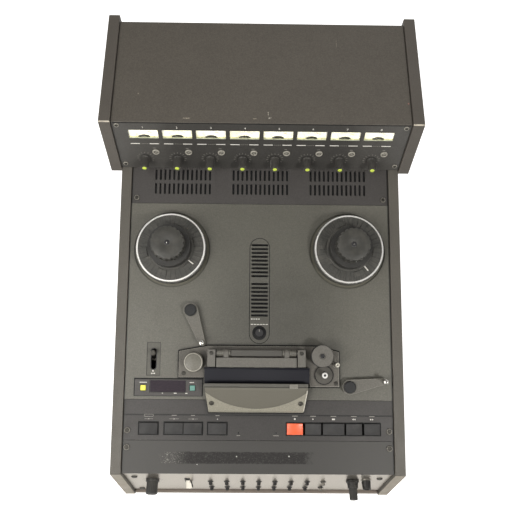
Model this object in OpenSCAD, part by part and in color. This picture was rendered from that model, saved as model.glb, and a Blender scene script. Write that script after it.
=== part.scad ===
// Eight-channel reel-to-reel tape recorder: a sloping transport console with an amplifier bridge
// behind it. X runs to the right, Y to the rear and Z up, and the origin is under the middle.

/* [Console] */
// Width of the rack panels
panel_w = 482.6; // [470:0.1:500]
// Gap between a panel and the side board
panel_gap = 1; // [0.6:0.1:1.4]
// Thickness of the deck panels
panel_t = 3; // [2.5:0.1:4]
// Thickness of the console side boards
board_t = 19; // [15:0.5:24]
// Height of the side boards above the panels
board_lip = 4; // [2:0.5:6]
// Length of the sloping deck from front to rear
deck_len = 622; // [615:1:640]
// Slope of the deck
deck_tilt = 12; // [8:0.5:14]
// Height of the console at its front edge, without feet
front_h = 168; // [160:1:185]
// Lean of the front face from upright
front_lean = 11; // [8:0.5:14]
// Sheet thickness of the chassis
tray_t = 2; // [1.5:0.1:3]
// Width of the chassis flanges that carry the panels
flange_w = 14; // [10:0.5:18]
// Distance of the rear wall in front of the board ends
rear_inset = 6; // [5:0.5:10]
// Height of a rubber foot
foot_h = 12; // [8:0.5:18]
// Radius of a rubber foot
foot_r = 16; // [12:0.5:20]
// Distance of the feet from the chassis edges
foot_inset = 34; // [28:1:60]

/* [Front panel] */
// Depth of the front panel behind the board edges
front_recess = 6; // [5:0.5:8]
// Thickness of the front panel
front_t = 3; // [2:0.1:4]
// Height of the front panel along the slope
front_panel_h = 139; // [134:1:142]
// Height of the sill along the slope
sill_h = 12; // [8:0.5:14]
// Dark gap between the sill and the front panel
sill_gap = 10; // [8:0.5:12]
// Depth of the sill behind the board edges
sill_recess = 2.5; // [1:0.1:4]
// Pitch of the channel switches
switch_pitch = 30.2; // [26:0.1:31]
// Place of the switch rows across the panel
switch_x = 17.7; // [5:0.1:20]
// Height of the upper switch row along the slope
switch_upper_s = 96; // [90:1:104]
// Height of the lower switch row along the slope
switch_lower_s = 46; // [42:1:56]
// Width of a switch lever
lever_w = 4.4; // [3.5:0.1:5]
// Reach of a switch lever out of its panel
lever_reach = 7; // [6:0.5:11]
// Distance of the power switch from the panel's left edge
power_inset = 111.3; // [101:0.1:126]
// Height of the power switch over the upper switch row
power_rise = 8; // [4:0.5:10]
// Width of the power switch lever
power_w = 7; // [5:0.1:9]
// Reach of the power switch lever from its pivot
power_reach = 18; // [14:0.5:20]
// Tilt of the power switch lever, thrown down
power_tilt = 45; // [30:1:48]
// Distance of the left knob from the panel's left edge
left_knob_inset = 46.5; // [41:0.1:66]
// Radius of the left knob
left_knob_r = 10.5; // [8:0.5:12]
// Length of the left knob
left_knob_len = 25.5; // [18:0.5:30]
// Distance of the right knob from the panel's right edge
right_knob_inset = 64.8; // [62:0.1:72]
// Radius of the right knob
right_knob_r = 7.6; // [6:0.1:9]
// Length of the right knob
right_knob_len = 34; // [28:0.5:38]
// Length of the right knob's neck behind its collar
right_knob_neck = 10; // [6:0.5:12]
// Height of the knobs and the jack along the slope
front_knob_s = 108; // [98:1:112]
// Distance of the phone jack from the panel's right edge
jack_inset = 39.3; // [34:0.1:42]
// Radius of the phone jack's hole
jack_r = 3.25; // [3.2:0.01:3.4]
// Radius of the jack's nut
jack_nut_r = 8; // [7:0.1:9]
// How far the jack stands out of the panel
jack_rise = 8; // [5:0.5:10]
// Depth of the jack's hole
jack_depth = 28; // [24:1:34]

/* [Deck rows] */
// Bare strip in front of the first panel
front_margin = 3; // [2:0.5:5]
// Share of the deck's length that the blank lower panel takes
lower_share = 0.0916; // [0.088:0.0001:0.095]
// Share that the button panel takes with its trim strip
button_share = 0.1132; // [0.111:0.0001:0.116]
// Share that the deck plate takes
plate_share = 0.5778; // [0.574:0.0001:0.582]
// Gap between two panels
row_gap = 0.6; // [0.4:0.1:1]
// Height of the deck plate above the other panels
plate_raise = 1; // [0.5:0.1:1.5]
// Length of the trim strip behind the buttons
trim_len = 26.5; // [25:0.5:28]
// Width and depth of the groove in front of the trim strip
groove = 1; // [0.6:0.1:1.4]
// Width of a vent slot
vent_slot_w = 4; // [3:0.1:4.6]
// Length of a vent slot
vent_slot_len = 21; // [18:0.5:22]
// Pitch of the vent slots
vent_pitch = 8.45; // [8:0.05:8.8]
// Slots in one vent group
vent_count = 13; // [9:1:14]
// Pitch of the three vent groups as a share of the panels' width
vent_share = 0.3025; // [0.27:0.0005:0.31]
// Distance of the first vent row behind the deck plate
vent_row = 28.5; // [26:0.5:30]
// Pitch of the two vent rows
vent_row_pitch = 27; // [25:0.5:28]

/* [Reels] */
// Distance of a spindle from the panels' side edge
reel_inset = 78.3; // [75:0.1:83]
// Distance of the spindles from the deck plate's rear edge
reel_back = 87; // [81:0.5:95]
// Radius of the shallow deck recess under a reel table
well_r = 70; // [68:0.5:74]
// Depth of that recess
well_d = 2; // [1:0.1:2.4]
// Radius of a reel table
table_r = 65; // [62:0.5:66]
// Height of a reel table's underside above the deck plate
table_gap = 3.5; // [2.5:0.5:6]
// Thickness of a reel table
table_t = 16; // [13:0.5:20]
// Outer radius of the bright rim
rim_r = 63.2; // [61:0.1:64]
// Width of the bright rim
rim_w = 3.6; // [2:0.1:4]
// Height of the bright rim above the table
rim_h = 3; // [1.5:0.1:4]
// Radius of the spindle above the table
spindle_r = 10; // [8:0.5:12]
// Length of the spindle above the table
spindle_len = 25; // [18:1:26]
// Radius of the motor shaft
shaft_r = 6; // [5:0.1:7]
// Thickness of the hub flange
hub_flange_t = 5; // [4:0.5:7]
// Radius of the drum that a reel slides over
hub_r = 38; // [37.5:0.05:38.5]
// Height of that drum
hub_h = 26; // [22:0.5:30]
// Radial ribs on a hub flange
hub_ribs = 36; // [24:1:48]
// Height of a rib
rib_h = 1.2; // [0.6:0.1:2]
// Radius of the hub lock knob
lock_r = 30; // [27:0.5:32]
// Height of the hub lock knob
lock_h = 25; // [20:0.5:28]
// Finger flutes round the lock knob
lock_flutes = 20; // [12:1:26]
// Radius of a flute
flute_r = 2.6; // [1.5:0.1:3.2]
// Radius of a reel motor
motor_r = 46; // [40:1:50]
// Radius of the capstan motor
capstan_motor_r = 34; // [28:1:35]
// Height of the motors
motor_h = 80; // [70:1:95]

/* [Tape path] */
// Middle of the head block across the deck
head_x = -5; // [-8:0.5:0]
// Distance of the head block's slot from the panels' side edges
slot_inset = 149.3; // [148.3:0.1:153.3]
// Thickness of the head base plate
base_t = 8; // [6:0.5:10]
// Reach of the head base to the left of the tape slot
base_left = 47.5; // [40:0.5:48]
// Reach of the head base to the right of the tape slot
base_right = 57; // [55:0.5:58]
// Reach of the head base behind the gate's front face
base_rear = 37; // [36:0.5:39]
// Room for the tape between the head cover and the gate
tape_slot = 30; // [28:0.5:32]
// Depth of the head cover from front to rear
cover_len = 50; // [46:0.5:50]
// Height of the head cover
cover_h = 28; // [24:0.5:30]
// Height of the head cover's front edge
cover_nose_h = 9; // [6:0.5:12]
// How much narrower the cover is at its front, each side
cover_taper = 7.5; // [4:0.5:10]
// Wall of the head cover
cover_wall = 2.5; // [2:0.1:4]
// Depth of the sunk field in the cover's face
cover_sink = 0.8; // [0.4:0.1:1.4]
// Radius of the sunk field's lower arc
cover_arc_r = 152; // [145:1:170]
// Distance of the hinged gate behind the deck plate's front edge
gate_back = 58.4; // [57.4:0.1:59.4]
// Depth of the hinged gate from front to rear
gate_len = 16.5; // [15:0.1:17]
// Thickness of the hinged gate
gate_t = 3; // [2.5:0.1:4]
// Height of the gate's underside above the base plate
gate_lift = 18; // [17:0.5:20]
// Gap between the gate and a bridge block
gate_gap = 2; // [0.5:0.1:3]
// Width of a bridge block
block_w = 14; // [12:0.5:15]
// Radius of the gate's hinge pin
hinge_r = 4; // [3:0.1:4.4]
// Width of a hinge ear
ear_w = 9; // [7:0.5:11]
// Distance of a hinge ear from the middle as a share of the slot's width
ear_share = 0.2935; // [0.277:0.0005:0.31]
// Pitch of the tape heads as a share of the slot's width
head_share = 0.2446; // [0.217:0.0001:0.272]
// Radius of the guide roller
guide_r = 17; // [14:0.5:18]
// Radius of the capstan
capstan_r = 5.2; // [4.5:0.1:5.6]
// Height of the capstan above the deck
capstan_h = 28; // [24:0.5:32]
// Radius of the pinch roller
pinch_r = 19.9; // [18:0.1:20]
// Height of the pinch roller
pinch_h = 17; // [14:0.5:20]
// Radius of the small pivot pins
pin_r = 4; // [3:0.1:4.4]
// Distance of the left arm's pivot from the panels' left edge
left_arm_inset = 116.1; // [114:0.1:118]
// Distance of the left arm's pivot behind the gate's front face
left_arm_back = 101; // [99:0.5:104]
// Distance of the right arm's pivot from the panels' right edge
right_arm_inset = 78.7; // [77:0.1:79]
// Distance of the right arm's pivot before the gate's front face
right_arm_front = 34.5; // [33:0.1:36]
// Height of a tension arm over the deck plate
arm_rise = 6; // [5.5:0.5:7]
// Length of a tension arm between its axes
arm_len = 63; // [56:1:66]
// Thickness of a tension arm
arm_t = 5; // [4:0.5:7]
// Radius of a tension arm at its pivot
arm_r = 13; // [11:0.5:14]
// Radius of a tension arm at its tip
arm_tip_r = 5.5; // [4.5:0.1:6.5]
// Height of the tape pin on a tension arm
arm_pin_h = 17; // [12:0.5:20]

/* [Deck controls] */
// Depth of a push button from front to rear
button_d = 19.6; // [17:0.1:21]
// Width of the left push buttons
button_w = 33; // [30:0.1:33.4]
// Width of the right push buttons
key_w = 28.4; // [26:0.1:29]
// Width of the stop button
stop_w = 38.4; // [34:0.1:39]
// Height of a push button above its panel
button_rise = 3; // [2:0.1:4]
// Depth of a push button below its panel
button_drop = 8; // [7:0.5:10]
// Travel of the push buttons
button_travel = 2.5; // [1.5:0.1:2.8]
// Distance of the push buttons' middle behind the front edge of their panel
press_row = 20.4; // [19:0.1:22]
// Width of the speaker strip
strip_w = 38; // [36:0.5:42]
// Distance of the speaker strip behind the deck plate's front edge
strip_front = 99.4; // [98:0.1:104]
// Distance of the speaker strip from the deck plate's rear edge
strip_back = 64; // [62:0.5:68]
// Slots in each half of the speaker strip
strip_slots = 9; // [6:1:9]
// Pitch of the speaker slots as a share of the strip's length
strip_pitch_share = 0.037; // [0.034:0.0005:0.0375]
// Radius of the speaker knob
speaker_knob_r = 7.8; // [6:0.1:9]
// Distance of the counter unit from the panels' left edge
counter_inset = 18; // [16:0.5:20]
// Gap between the counter unit and the head block's slot, across the deck
counter_gap = 5.3; // [4:0.1:7]
// Depth of the counter unit from front to rear
counter_d = 29; // [27:0.5:30]
// Side of a counter button
counter_key = 9.2; // [8:0.1:10]
// Length of the cue lever's slot
cue_slot = 37; // [34:0.5:40]
// Width of the cue lever's slot
cue_slot_w = 9; // [8:0.5:11]

/* [Amplifier bridge] */
// How far the bridge stands over the deck
amp_overlap = 65; // [60:1:72]
// Thickness of the bridge side boards
amp_board_t = 20; // [16:0.5:24]
// Height of the meter panel along its slope
meter_len = 128.8; // [124:0.1:134]
// Lean of the meter panel from upright
meter_lean = 11; // [8:0.5:14]
// Depth of the bridge's top
amp_top_len = 224; // [210:1:240]
// Distance of the bridge's rear wall in front of its board ends
amp_rear_inset = 14; // [13:0.5:18]
// Bare width beside the outer channels
channel_margin = 22.9; // [21.3:0.1:37]
// Width of the bar between two meter windows
window_gap = 7.3; // [5.6:0.1:11.6]
// Height of a meter window
window_h = 21.4; // [18:0.1:24]
// Height of the window middles along the panel
window_s = 96.8; // [94:0.1:99]
// Depth of a meter case
meter_d = 30; // [24:1:36]
// Height of the level knobs along the panel
level_s = 34; // [31:0.5:40]
// Place of a level knob beside its channel's middle
level_x = -4; // [-8:0.5:4]
// Radius of a level knob
level_r = 7.5; // [6:0.1:9]
// Length of a level knob
level_len = 25; // [20:0.5:30]
// Width of a carrying leg
leg_w = 40; // [30:1:50]
// Height of a carrying leg
leg_h = 140; // [110:1:170]
// Distance of a carrying leg from the middle
leg_x = 150; // [130:1:160]

/* [Power supply and inlet] */
// Width of the transformer's core
core_w = 110; // [90:1:120]
// Depth of the transformer over its winding
core_d = 70; // [60:1:80]
// Height of the transformer
core_h = 92; // [80:1:100]
// Distance of the transformer's middle from the rear of the console
core_back = 190; // [180:1:210]
// Distance of the mains inlet from the chassis side
inlet_inset = 62.3; // [50:0.1:70]
// Height of the mains inlet over the chassis floor
inlet_rise = 60; // [40:1:70]
// Width of the mains inlet's opening
inlet_w = 28; // [27:0.5:30]
// Height of the mains inlet's opening
inlet_h = 21; // [20:0.5:23]

/* [Clearances] */
// Radial play of a shaft in its bore
run_fit = 0.05; // [0.03:0.01:0.08]
// Play beside a part that slides in an opening
side_gap = 0.4; // [0.3:0.05:0.6]
// Play between faces that turn or lift past each other
face_gap = 0.5; // [0.3:0.05:0.8]

/* [Hidden] */
CHANNELS = 8;
channels = [0 : CHANNELS - 1];
$fn = 64;
EPS = 0.01;
link_inset = 0.06;

// Console frame: widths, corner lines and the places of the three sloping faces
half_w = panel_w / 2;
inner_w = panel_w + 2 * panel_gap;
console_w = inner_w + 2 * board_t;
deck_y = front_h * tan(front_lean);
deck_z = foot_h + front_h;
rear_y = deck_y + deck_len * cos(deck_tilt);
tray_front = front_recess + front_t;

// Deck rows, measured from the front edge of the deck
lower_len = lower_share * deck_len;
button_len = button_share * deck_len;
plate_len = plate_share * deck_len;
button_v = front_margin + lower_len + row_gap;
plate_v = button_v + button_len + row_gap;
vent_v = plate_v + plate_len + row_gap;
vent_end = deck_len - rear_inset / cos(deck_tilt) - panel_t * tan(deck_tilt) - row_gap;
trim_v = button_v + button_len - trim_len;
plate_t = panel_t + plate_raise;
press_v = button_v + press_row;

// Amplifier bridge, measured in the console frame
amp_v = deck_len - amp_overlap;
amp_y = deck_y + amp_v * cos(deck_tilt);
amp_z = deck_z + amp_v * sin(deck_tilt);
amp_top_z = amp_z + meter_len * cos(meter_lean);
amp_top_y = amp_y + meter_len * sin(meter_lean);
amp_rear = amp_top_y + amp_top_len;
amp_wall_y = amp_rear - amp_rear_inset;
pan_z = deck_z + deck_len * sin(deck_tilt) + board_lip / cos(deck_tilt) + side_gap;
lean_sum = meter_lean + deck_tilt;
panel_foot = (board_lip + panel_t * sin(lean_sum)) / cos(lean_sum) + side_gap;
channel_pitch = (console_w - 2 * channel_margin) / CHANNELS;
window_w = channel_pitch - window_gap;

// Places on the front panel and the rear
power_x = power_inset - half_w;
power_s = switch_upper_s + power_rise;
left_knob_x = left_knob_inset - half_w;
right_knob_x = half_w - right_knob_inset;
jack_x = half_w - jack_inset;
inlet_x = inlet_inset - inner_w / 2;
inlet_z = foot_h + inlet_rise;

// The right knob's tip reaches furthest forward
knob_tip = right_knob_len - front_recess;
front_reach = (front_knob_s - right_knob_r) * sin(front_lean) - knob_tip * cos(front_lean);
middle_y = (min(0, front_reach) + amp_rear) / 2;

// Heights over the deck plane
plate_top = plate_raise;
base_top = plate_top + base_t;
table_w = plate_top + table_gap;
table_top = table_w + table_t;
rim_top = table_top + rim_h;
hub_flange_r = rim_r - rim_w - side_gap;
hub_top = table_top + hub_flange_t + hub_h;
gate_w = base_top + gate_lift;
roller_w = base_top + face_gap + arm_t + face_gap;

// Places on the deck plane, taken from the panels' edges, the ends of the tape slot and the gate
slot_w = panel_w - 2 * slot_inset;
slot_x0 = head_x - slot_w / 2;
slot_x1 = head_x + slot_w / 2;
bridge_w = slot_w - 10;
gate_v = plate_v + gate_back;
cover_v = gate_v - tape_slot;
hinge_at = [gate_v + gate_len + 8, gate_w - 5];
ear_x = ear_share * slot_w;
head_pitch = head_share * slot_w;
block_len = 30;
hinge_bar = [10, 7, 5];
ear_wall = 3;
ear_reach = 12;
reel_x = half_w - reel_inset;
reel_v = plate_v + plate_len - reel_back;
guide_at = [slot_x0 - 20, gate_v + 8];
capstan_at = [slot_x1 + 29.3, gate_v - 13.4];
pinch_at = [slot_x1 + 24.8, gate_v + 20.3];
pinch_pivot = [slot_x1 + 44, gate_v + 16];
post_at = [slot_x1 + 51, gate_v + 5];
left_arm_at = [left_arm_inset - half_w, gate_v + left_arm_back];
left_arm_turn = -69.4;
right_arm_at = [half_w - right_arm_inset, gate_v - right_arm_front];
right_arm_turn = 9.7;
cue_at = [50.3 - half_w, gate_v + 13];
cue_turn = 18;
cue_axle_w = -24;
cue_recess = [25, 60];

// Speaker strip, counter and push buttons
strip_v = plate_v + strip_front;
strip_len = plate_len - strip_front - strip_back;
strip_pitch = strip_pitch_share * strip_len;
strip_groups = [strip_v + 0.4117 * strip_len, strip_v + 0.782 * strip_len];
strip_slot = [30, 3.2];
speaker_knob_at = [0, strip_v + 20];
counter_x0 = counter_inset - half_w;
counter_x1 = slot_x0 - counter_gap;
counter_w = counter_x1 - counter_x0;
counter_at = [(counter_x0 + counter_x1) / 2, plate_v + 6.2 + counter_d / 2];
counter_keys_x = [counter_x0 + 15.3, counter_x1 - 17.3];
counter_window = [counter_w - 55, 21];
left_presses = [for (d = [44.8, 90, 123.8, 167.6]) d - half_w];
key_x = [for (d = [176.5, 143.7, 107.1, 70.5, 38.2]) half_w - d];

// Colours as the photograph shows them
GREY_DARK = "#403d3b";
GREY_BOARD = "#514c45";
GREY_DECK = "#6b665c";
GREY_PANEL = "#504c49";
BLACK = "#2b2a29";
SILVER = "#dcd5cb";
STEEL = "#b9b6af";

// Frames of the sloping faces
module base_frame() {
    translate([0, -middle_y, 0]) children();
}

module deck_frame() {
    base_frame() translate([0, deck_y, deck_z]) rotate([deck_tilt, 0, 0]) children();
}

module front_frame() {
    base_frame() translate([0, 0, foot_h]) rotate([90 - front_lean, 0, 0]) children();
}

module meter_frame() {
    base_frame() translate([0, amp_y, amp_z]) rotate([90 - meter_lean, 0, 0]) children();
}

// Extrudes a Y-Z outline across the width, centred
module across(width) {
    translate([-width / 2, 0, 0]) rotate([90, 0, 90]) linear_extrude(width) children();
}

// A rod along X, centred on a place given as Y and Z
module cross_rod(r, width, at) {
    translate([-width / 2, at[0], at[1]]) rotate([0, 90, 0]) cylinder(r = r, h = width);
}

// A plate centred on X with its lower left corner at v and its faces at w0 and w1
module slab(width, v, len, w0, w1) {
    translate([-width / 2, v, w0]) cube([width, len, w1 - w0]);
}

// A block given by its middle in X and Y and its faces in Z
module block(at, size, z0, z1) {
    translate([at[0] - size[0] / 2, at[1] - size[1] / 2, z0]) cube([size[0], size[1], z1 - z0]);
}

// A cylinder between two heights
module disc(at, r, z0, z1) {
    translate([at[0], at[1], z0]) cylinder(r = r, h = z1 - z0);
}

// A slot outline with round ends along Y
module slot_outline(width, len) {
    square([width, len - width], center = true);
    for (s = [-1, 1]) translate([0, s * (len - width) / 2]) circle(d = width);
}

// A link outline: two circles and the plate between them, a little inside their tangents
module link_outline(len, r1, r2) {
    a = acos((r1 - r2) / len);
    p1 = r1 - link_inset;
    p2 = r2 - link_inset;
    circle(r = r1);
    translate([len, 0]) circle(r = r2);
    polygon([
        [p1 * cos(a), p1 * sin(a)],
        [p1 * cos(a), -p1 * sin(a)],
        [len + p2 * cos(a), -p2 * sin(a)],
        [len + p2 * cos(a), p2 * sin(a)]
    ]);
}

// Console outline with its front, deck, rear and bottom lines moved inwards
function front_line(z, d) = (z - foot_h) * tan(front_lean) + d / cos(front_lean);
function deck_line(y, e) = deck_z + (y - deck_y) * tan(deck_tilt) - e / cos(deck_tilt);
function meet_y(d, e) =
    (front_h - deck_y * tan(deck_tilt) - e / cos(deck_tilt) + d / sin(front_lean))
    / (1 / tan(front_lean) - tan(deck_tilt));
function wedge(d, e, r, b) =
    let (y1 = meet_y(d, e), y2 = rear_y - r)
    [
        [front_line(foot_h + b, d), foot_h + b],
        [y1, deck_line(y1, e)],
        [y2, deck_line(y2, e)],
        [y2, foot_h + b]
    ];

// Front of the bridge at a height, moved inwards by d
function meter_line(z, d) = amp_y + (z - amp_z) * tan(meter_lean) + d / cos(meter_lean);
function channel_x(i) = (i - (CHANNELS - 1) / 2) * channel_pitch;
function switch_at(i) = switch_x + (i - (CHANNELS - 1) / 2) * switch_pitch;

// Transport console

module deck_side_boards() {
    color(GREY_BOARD) base_frame() for (s = [-1, 1])
        translate([s * (inner_w + board_t) / 2, 0, 0])
            across(board_t) polygon(wedge(0, -board_lip, 0, 0));
}

module base_tray() {
    open_w = inner_w - 2 * flange_w;
    open_v = front_margin + flange_w;
    open_len = deck_len - 2 * open_v;
    cut = 2 * flange_w + tray_t;
    color(BLACK) {
        difference() {
            base_frame() across(inner_w) polygon(wedge(tray_front, panel_t, rear_inset, 0));
            base_frame() across(inner_w - 2 * tray_t)
                polygon(wedge(tray_front + tray_t, panel_t + tray_t, rear_inset + tray_t, tray_t));
            deck_frame() slab(open_w, open_v, open_len, -cut, 1);
            front_frame() slab(open_w, sill_h + sill_gap + flange_w, front_panel_h - 2 * flange_w, -cut, 1);
            base_frame() translate([inlet_x - inlet_w / 2, rear_y - cut, inlet_z - inlet_h / 2])
                cube([inlet_w, cut, inlet_h]);
        }
        front_frame() slab(inner_w, 0, sill_h, -tray_front, -sill_recess);
    }
}

module rubber_feet() {
    taper = 2;
    x = inner_w / 2 - foot_inset;
    ys = [front_line(foot_h, tray_front) + foot_inset, rear_y - rear_inset - foot_inset];
    color(BLACK) base_frame() for (sx = [-1, 1], y = ys)
        translate([sx * x, y, 0]) cylinder(r1 = foot_r - taper, r2 = foot_r, h = foot_h);
}

module lower_panel() {
    color(GREY_PANEL) deck_frame() slab(panel_w, front_margin, lower_len, -panel_t, 0);
}

module button_opening(x0, x1) {
    mid = (x0 + x1) / 2;
    width = x1 - x0 + 2 * side_gap;
    block([mid, press_v], [width, button_d + 2 * side_gap], -panel_t - 1, 1);
}

module button_panel() {
    half = button_w / 2;
    color(GREY_PANEL) deck_frame() difference() {
        slab(panel_w, button_v, button_len, -panel_t, 0);
        slab(panel_w + 1, trim_v - groove / 2, groove, -groove, 1);
        button_opening(left_presses[0] - half, left_presses[0] + half);
        button_opening(left_presses[1] - half, left_presses[2] + half);
        button_opening(left_presses[3] - half, left_presses[3] + half);
        button_opening(key_x[0] - key_w / 2, key_x[4] + key_w / 2);
    }
}

module vent_panel() {
    rows = [vent_v + vent_row, vent_v + vent_row + vent_row_pitch];
    half = (vent_count - 1) / 2;
    color(GREY_PANEL) deck_frame() difference() {
        slab(panel_w, vent_v, vent_end - vent_v, -panel_t, 0);
        for (g = [-1 : 1], r = rows, i = [0 : vent_count - 1])
            translate([g * vent_share * panel_w + (i - half) * vent_pitch, r, -panel_t - 1])
                linear_extrude(panel_t + 2) slot_outline(vent_slot_w, vent_slot_len);
    }
}

bearing_r = 10.5;
bearing_len = 18;
cue_lug_t = 4;
cue_lug_gap = 12;
cue_lug_r = 7;

// Two lugs under the plate with the bore for the cue lever's axle
module cue_lugs() {
    for (s = [-1, 1]) translate([cue_at[0] + s * (cue_lug_gap + cue_lug_t) / 2, cue_at[1], 0]) difference() {
        union() {
            block([0, 0], [cue_lug_t, 2 * cue_lug_r], cue_axle_w, -panel_t);
            cross_rod(cue_lug_r, cue_lug_t, [0, cue_axle_w]);
        }
        cross_rod(pin_r + run_fit, cue_lug_t + 1, [0, cue_axle_w]);
    }
}

module speaker_strip_cuts() {
    half = (strip_slots - 1) * strip_pitch / 2;
    deep = plate_top - 1;
    mid = strip_v + strip_len / 2;
    translate([0, mid, deep]) linear_extrude(2) slot_outline(strip_w, strip_len);
    for (c = strip_groups, i = [0 : strip_slots - 1])
        block([0, c - half + i * strip_pitch], strip_slot, -plate_t, 2);
    disc(speaker_knob_at, speaker_knob_r + 5, -panel_t + 1.5, 2);
    disc(speaker_knob_at, pin_r + run_fit, -plate_t, 2);
}

module deck_plate() {
    arms = [left_arm_at, right_arm_at];
    color(GREY_DECK) deck_frame() {
        difference() {
            union() {
                slab(panel_w, plate_v, plate_len, -panel_t, plate_top);
                for (p = arms) disc(p, bearing_r, -panel_t - bearing_len, -panel_t + EPS);
            }
            for (s = [-1, 1]) {
                disc([s * reel_x, reel_v], well_r, plate_top - well_d, 2);
                disc([s * reel_x, reel_v], 2 * shaft_r, -plate_t, 2);
            }
            for (p = arms) disc(p, shaft_r + run_fit, -panel_t - bearing_len - 1, 2);
            speaker_strip_cuts();
            block(cue_at, cue_recess, plate_top - 1, 2);
            translate([cue_at[0], cue_at[1], -plate_t])
                linear_extrude(plate_t + 2) slot_outline(cue_slot_w, cue_slot);
            block(counter_at, [counter_w + 2 * side_gap, counter_d + 2 * side_gap], -plate_t, 2);
            disc(capstan_at, 2 * capstan_r, -plate_t, 2);
        }
        cue_lugs();
    }
}

lever_slot_len = 16;
lever_tilt = 14;
power_slot_len = 30;
power_drop = 6;
jack_wall = 2;

module front_panel() {
    s0 = sill_h + sill_gap;
    back = -tray_front - 1;
    color(SILVER) front_frame() difference() {
        slab(panel_w, s0, front_panel_h, -tray_front, -front_recess);
        for (i = channels, s = [switch_upper_s, switch_lower_s])
            block([switch_at(i), s], [lever_w + 2 * side_gap, lever_slot_len], back, 0);
        block([power_x, power_s], [power_w + 2 * side_gap, power_slot_len], back, 0);
        for (x = [left_knob_x, right_knob_x]) disc([x, front_knob_s], pin_r + run_fit, back, 0);
        disc([jack_x, front_knob_s], jack_nut_r - jack_wall, back, 0);
    }
}

// One switch: its case on the back of the panel and its lever through the slot, with the lever's
// pivot moved down from the middle of the case
module switch_unit(at, slot_len, lever, tilt, drop = 0) {
    case_rim = 3;
    case_end = 2;
    case_d = 14;
    translate([at[0], at[1], -tray_front]) {
        block([0, 0], [lever[0] + 2 * case_rim, slot_len + 2 * case_end], -case_d, 0);
        translate([0, -drop, 0]) rotate([tilt, 0, 0])
            block([0, 0], [lever[0], lever[1]], -lever[1], lever[2]);
    }
}

module front_switches() {
    lever = [lever_w, lever_w, lever_reach + front_t];
    power_lever = [power_w, 0.7 * power_w, power_reach];
    color(BLACK) front_frame() {
        for (i = channels, s = [switch_upper_s, switch_lower_s])
            switch_unit([switch_at(i), s], lever_slot_len, lever, lever_tilt);
        switch_unit([power_x, power_s], power_slot_len, power_lever, power_tilt, power_drop);
    }
}

module phone_jack() {
    at = [jack_x, front_knob_s];
    nut_t = 3;
    top = -front_recess + jack_rise;
    color(BLACK) front_frame() difference() {
        union() {
            disc(at, jack_nut_r, -front_recess, -front_recess + nut_t);
            disc(at, jack_nut_r - jack_wall - side_gap, -tray_front - jack_depth, top);
        }
        disc(at, jack_r, top - jack_depth, top + 1);
    }
}

// A fluted knob with a collar, on a shaft that runs in the panel; a long neck stands behind the collar
module front_knob(x, r, collar_r, len, neck = 0) {
    ribs = 18;
    rib_r = 0.9;
    shaft_drop = 8;
    collar_t = 3.5;
    foot = face_gap + neck;
    grip = foot + collar_t;
    translate([x, front_knob_s, -front_recess]) {
        disc([0, 0], pin_r, -front_t - shaft_drop, face_gap + EPS);
        if (neck > 0) disc([0, 0], r - 1, face_gap, foot + EPS);
        disc([0, 0], collar_r, foot, grip);
        difference() {
            disc([0, 0], r, grip - EPS, len);
            for (i = [0 : ribs - 1]) rotate([0, 0, i * 360 / ribs])
                disc([r + rib_r / 3, 0], rib_r, grip + 2, len + 1);
        }
    }
}

module left_front_knob() {
    color(BLACK) front_frame() front_knob(left_knob_x, left_knob_r, left_knob_r + 2, left_knob_len);
}

module right_front_knob() {
    color(BLACK) front_frame()
        front_knob(right_knob_x, right_knob_r, right_knob_r + 2, right_knob_len, right_knob_neck);
}

// Inside the console

module drive_motors() {
    flange_t = 6;
    top = -panel_t;
    color(STEEL) deck_frame() {
        for (s = [-1, 1]) translate([s * reel_x, reel_v, 0]) difference() {
            union() {
                block([0, 0], [2 * motor_r + 8, 2 * motor_r + 8], top - flange_t, top);
                disc([0, 0], motor_r, top - motor_h, top - flange_t + EPS);
            }
            disc([0, 0], shaft_r + run_fit, top - motor_h - 1, 1);
        }
        translate([capstan_at[0], capstan_at[1], 0]) difference() {
            union() {
                disc([0, 0], capstan_motor_r + 4, top - flange_t, top);
                disc([0, 0], capstan_motor_r, top - motor_h, top - flange_t + EPS);
            }
            disc([0, 0], capstan_r + run_fit, top - motor_h - 1, 1);
        }
    }
}

module power_supply() {
    foot_t = 3;
    yoke = 20;
    window = 16;
    winding_w = core_w / 2 - window - 1;
    color(STEEL) base_frame() translate([0, rear_y - core_back, foot_h + tray_t]) {
        block([0, 0], [core_w + 30, core_d], 0, foot_t);
        difference() {
            block([0, 0], [core_w, core_d * 0.6], foot_t - EPS, core_h);
            for (s = [-1, 1]) block([s * core_w / 4, 0], [window, core_d], yoke, core_h - yoke);
        }
        block([0, 0], [winding_w, core_d], yoke + 1, core_h - yoke - 1);
    }
}

// Head block and tape path

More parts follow.
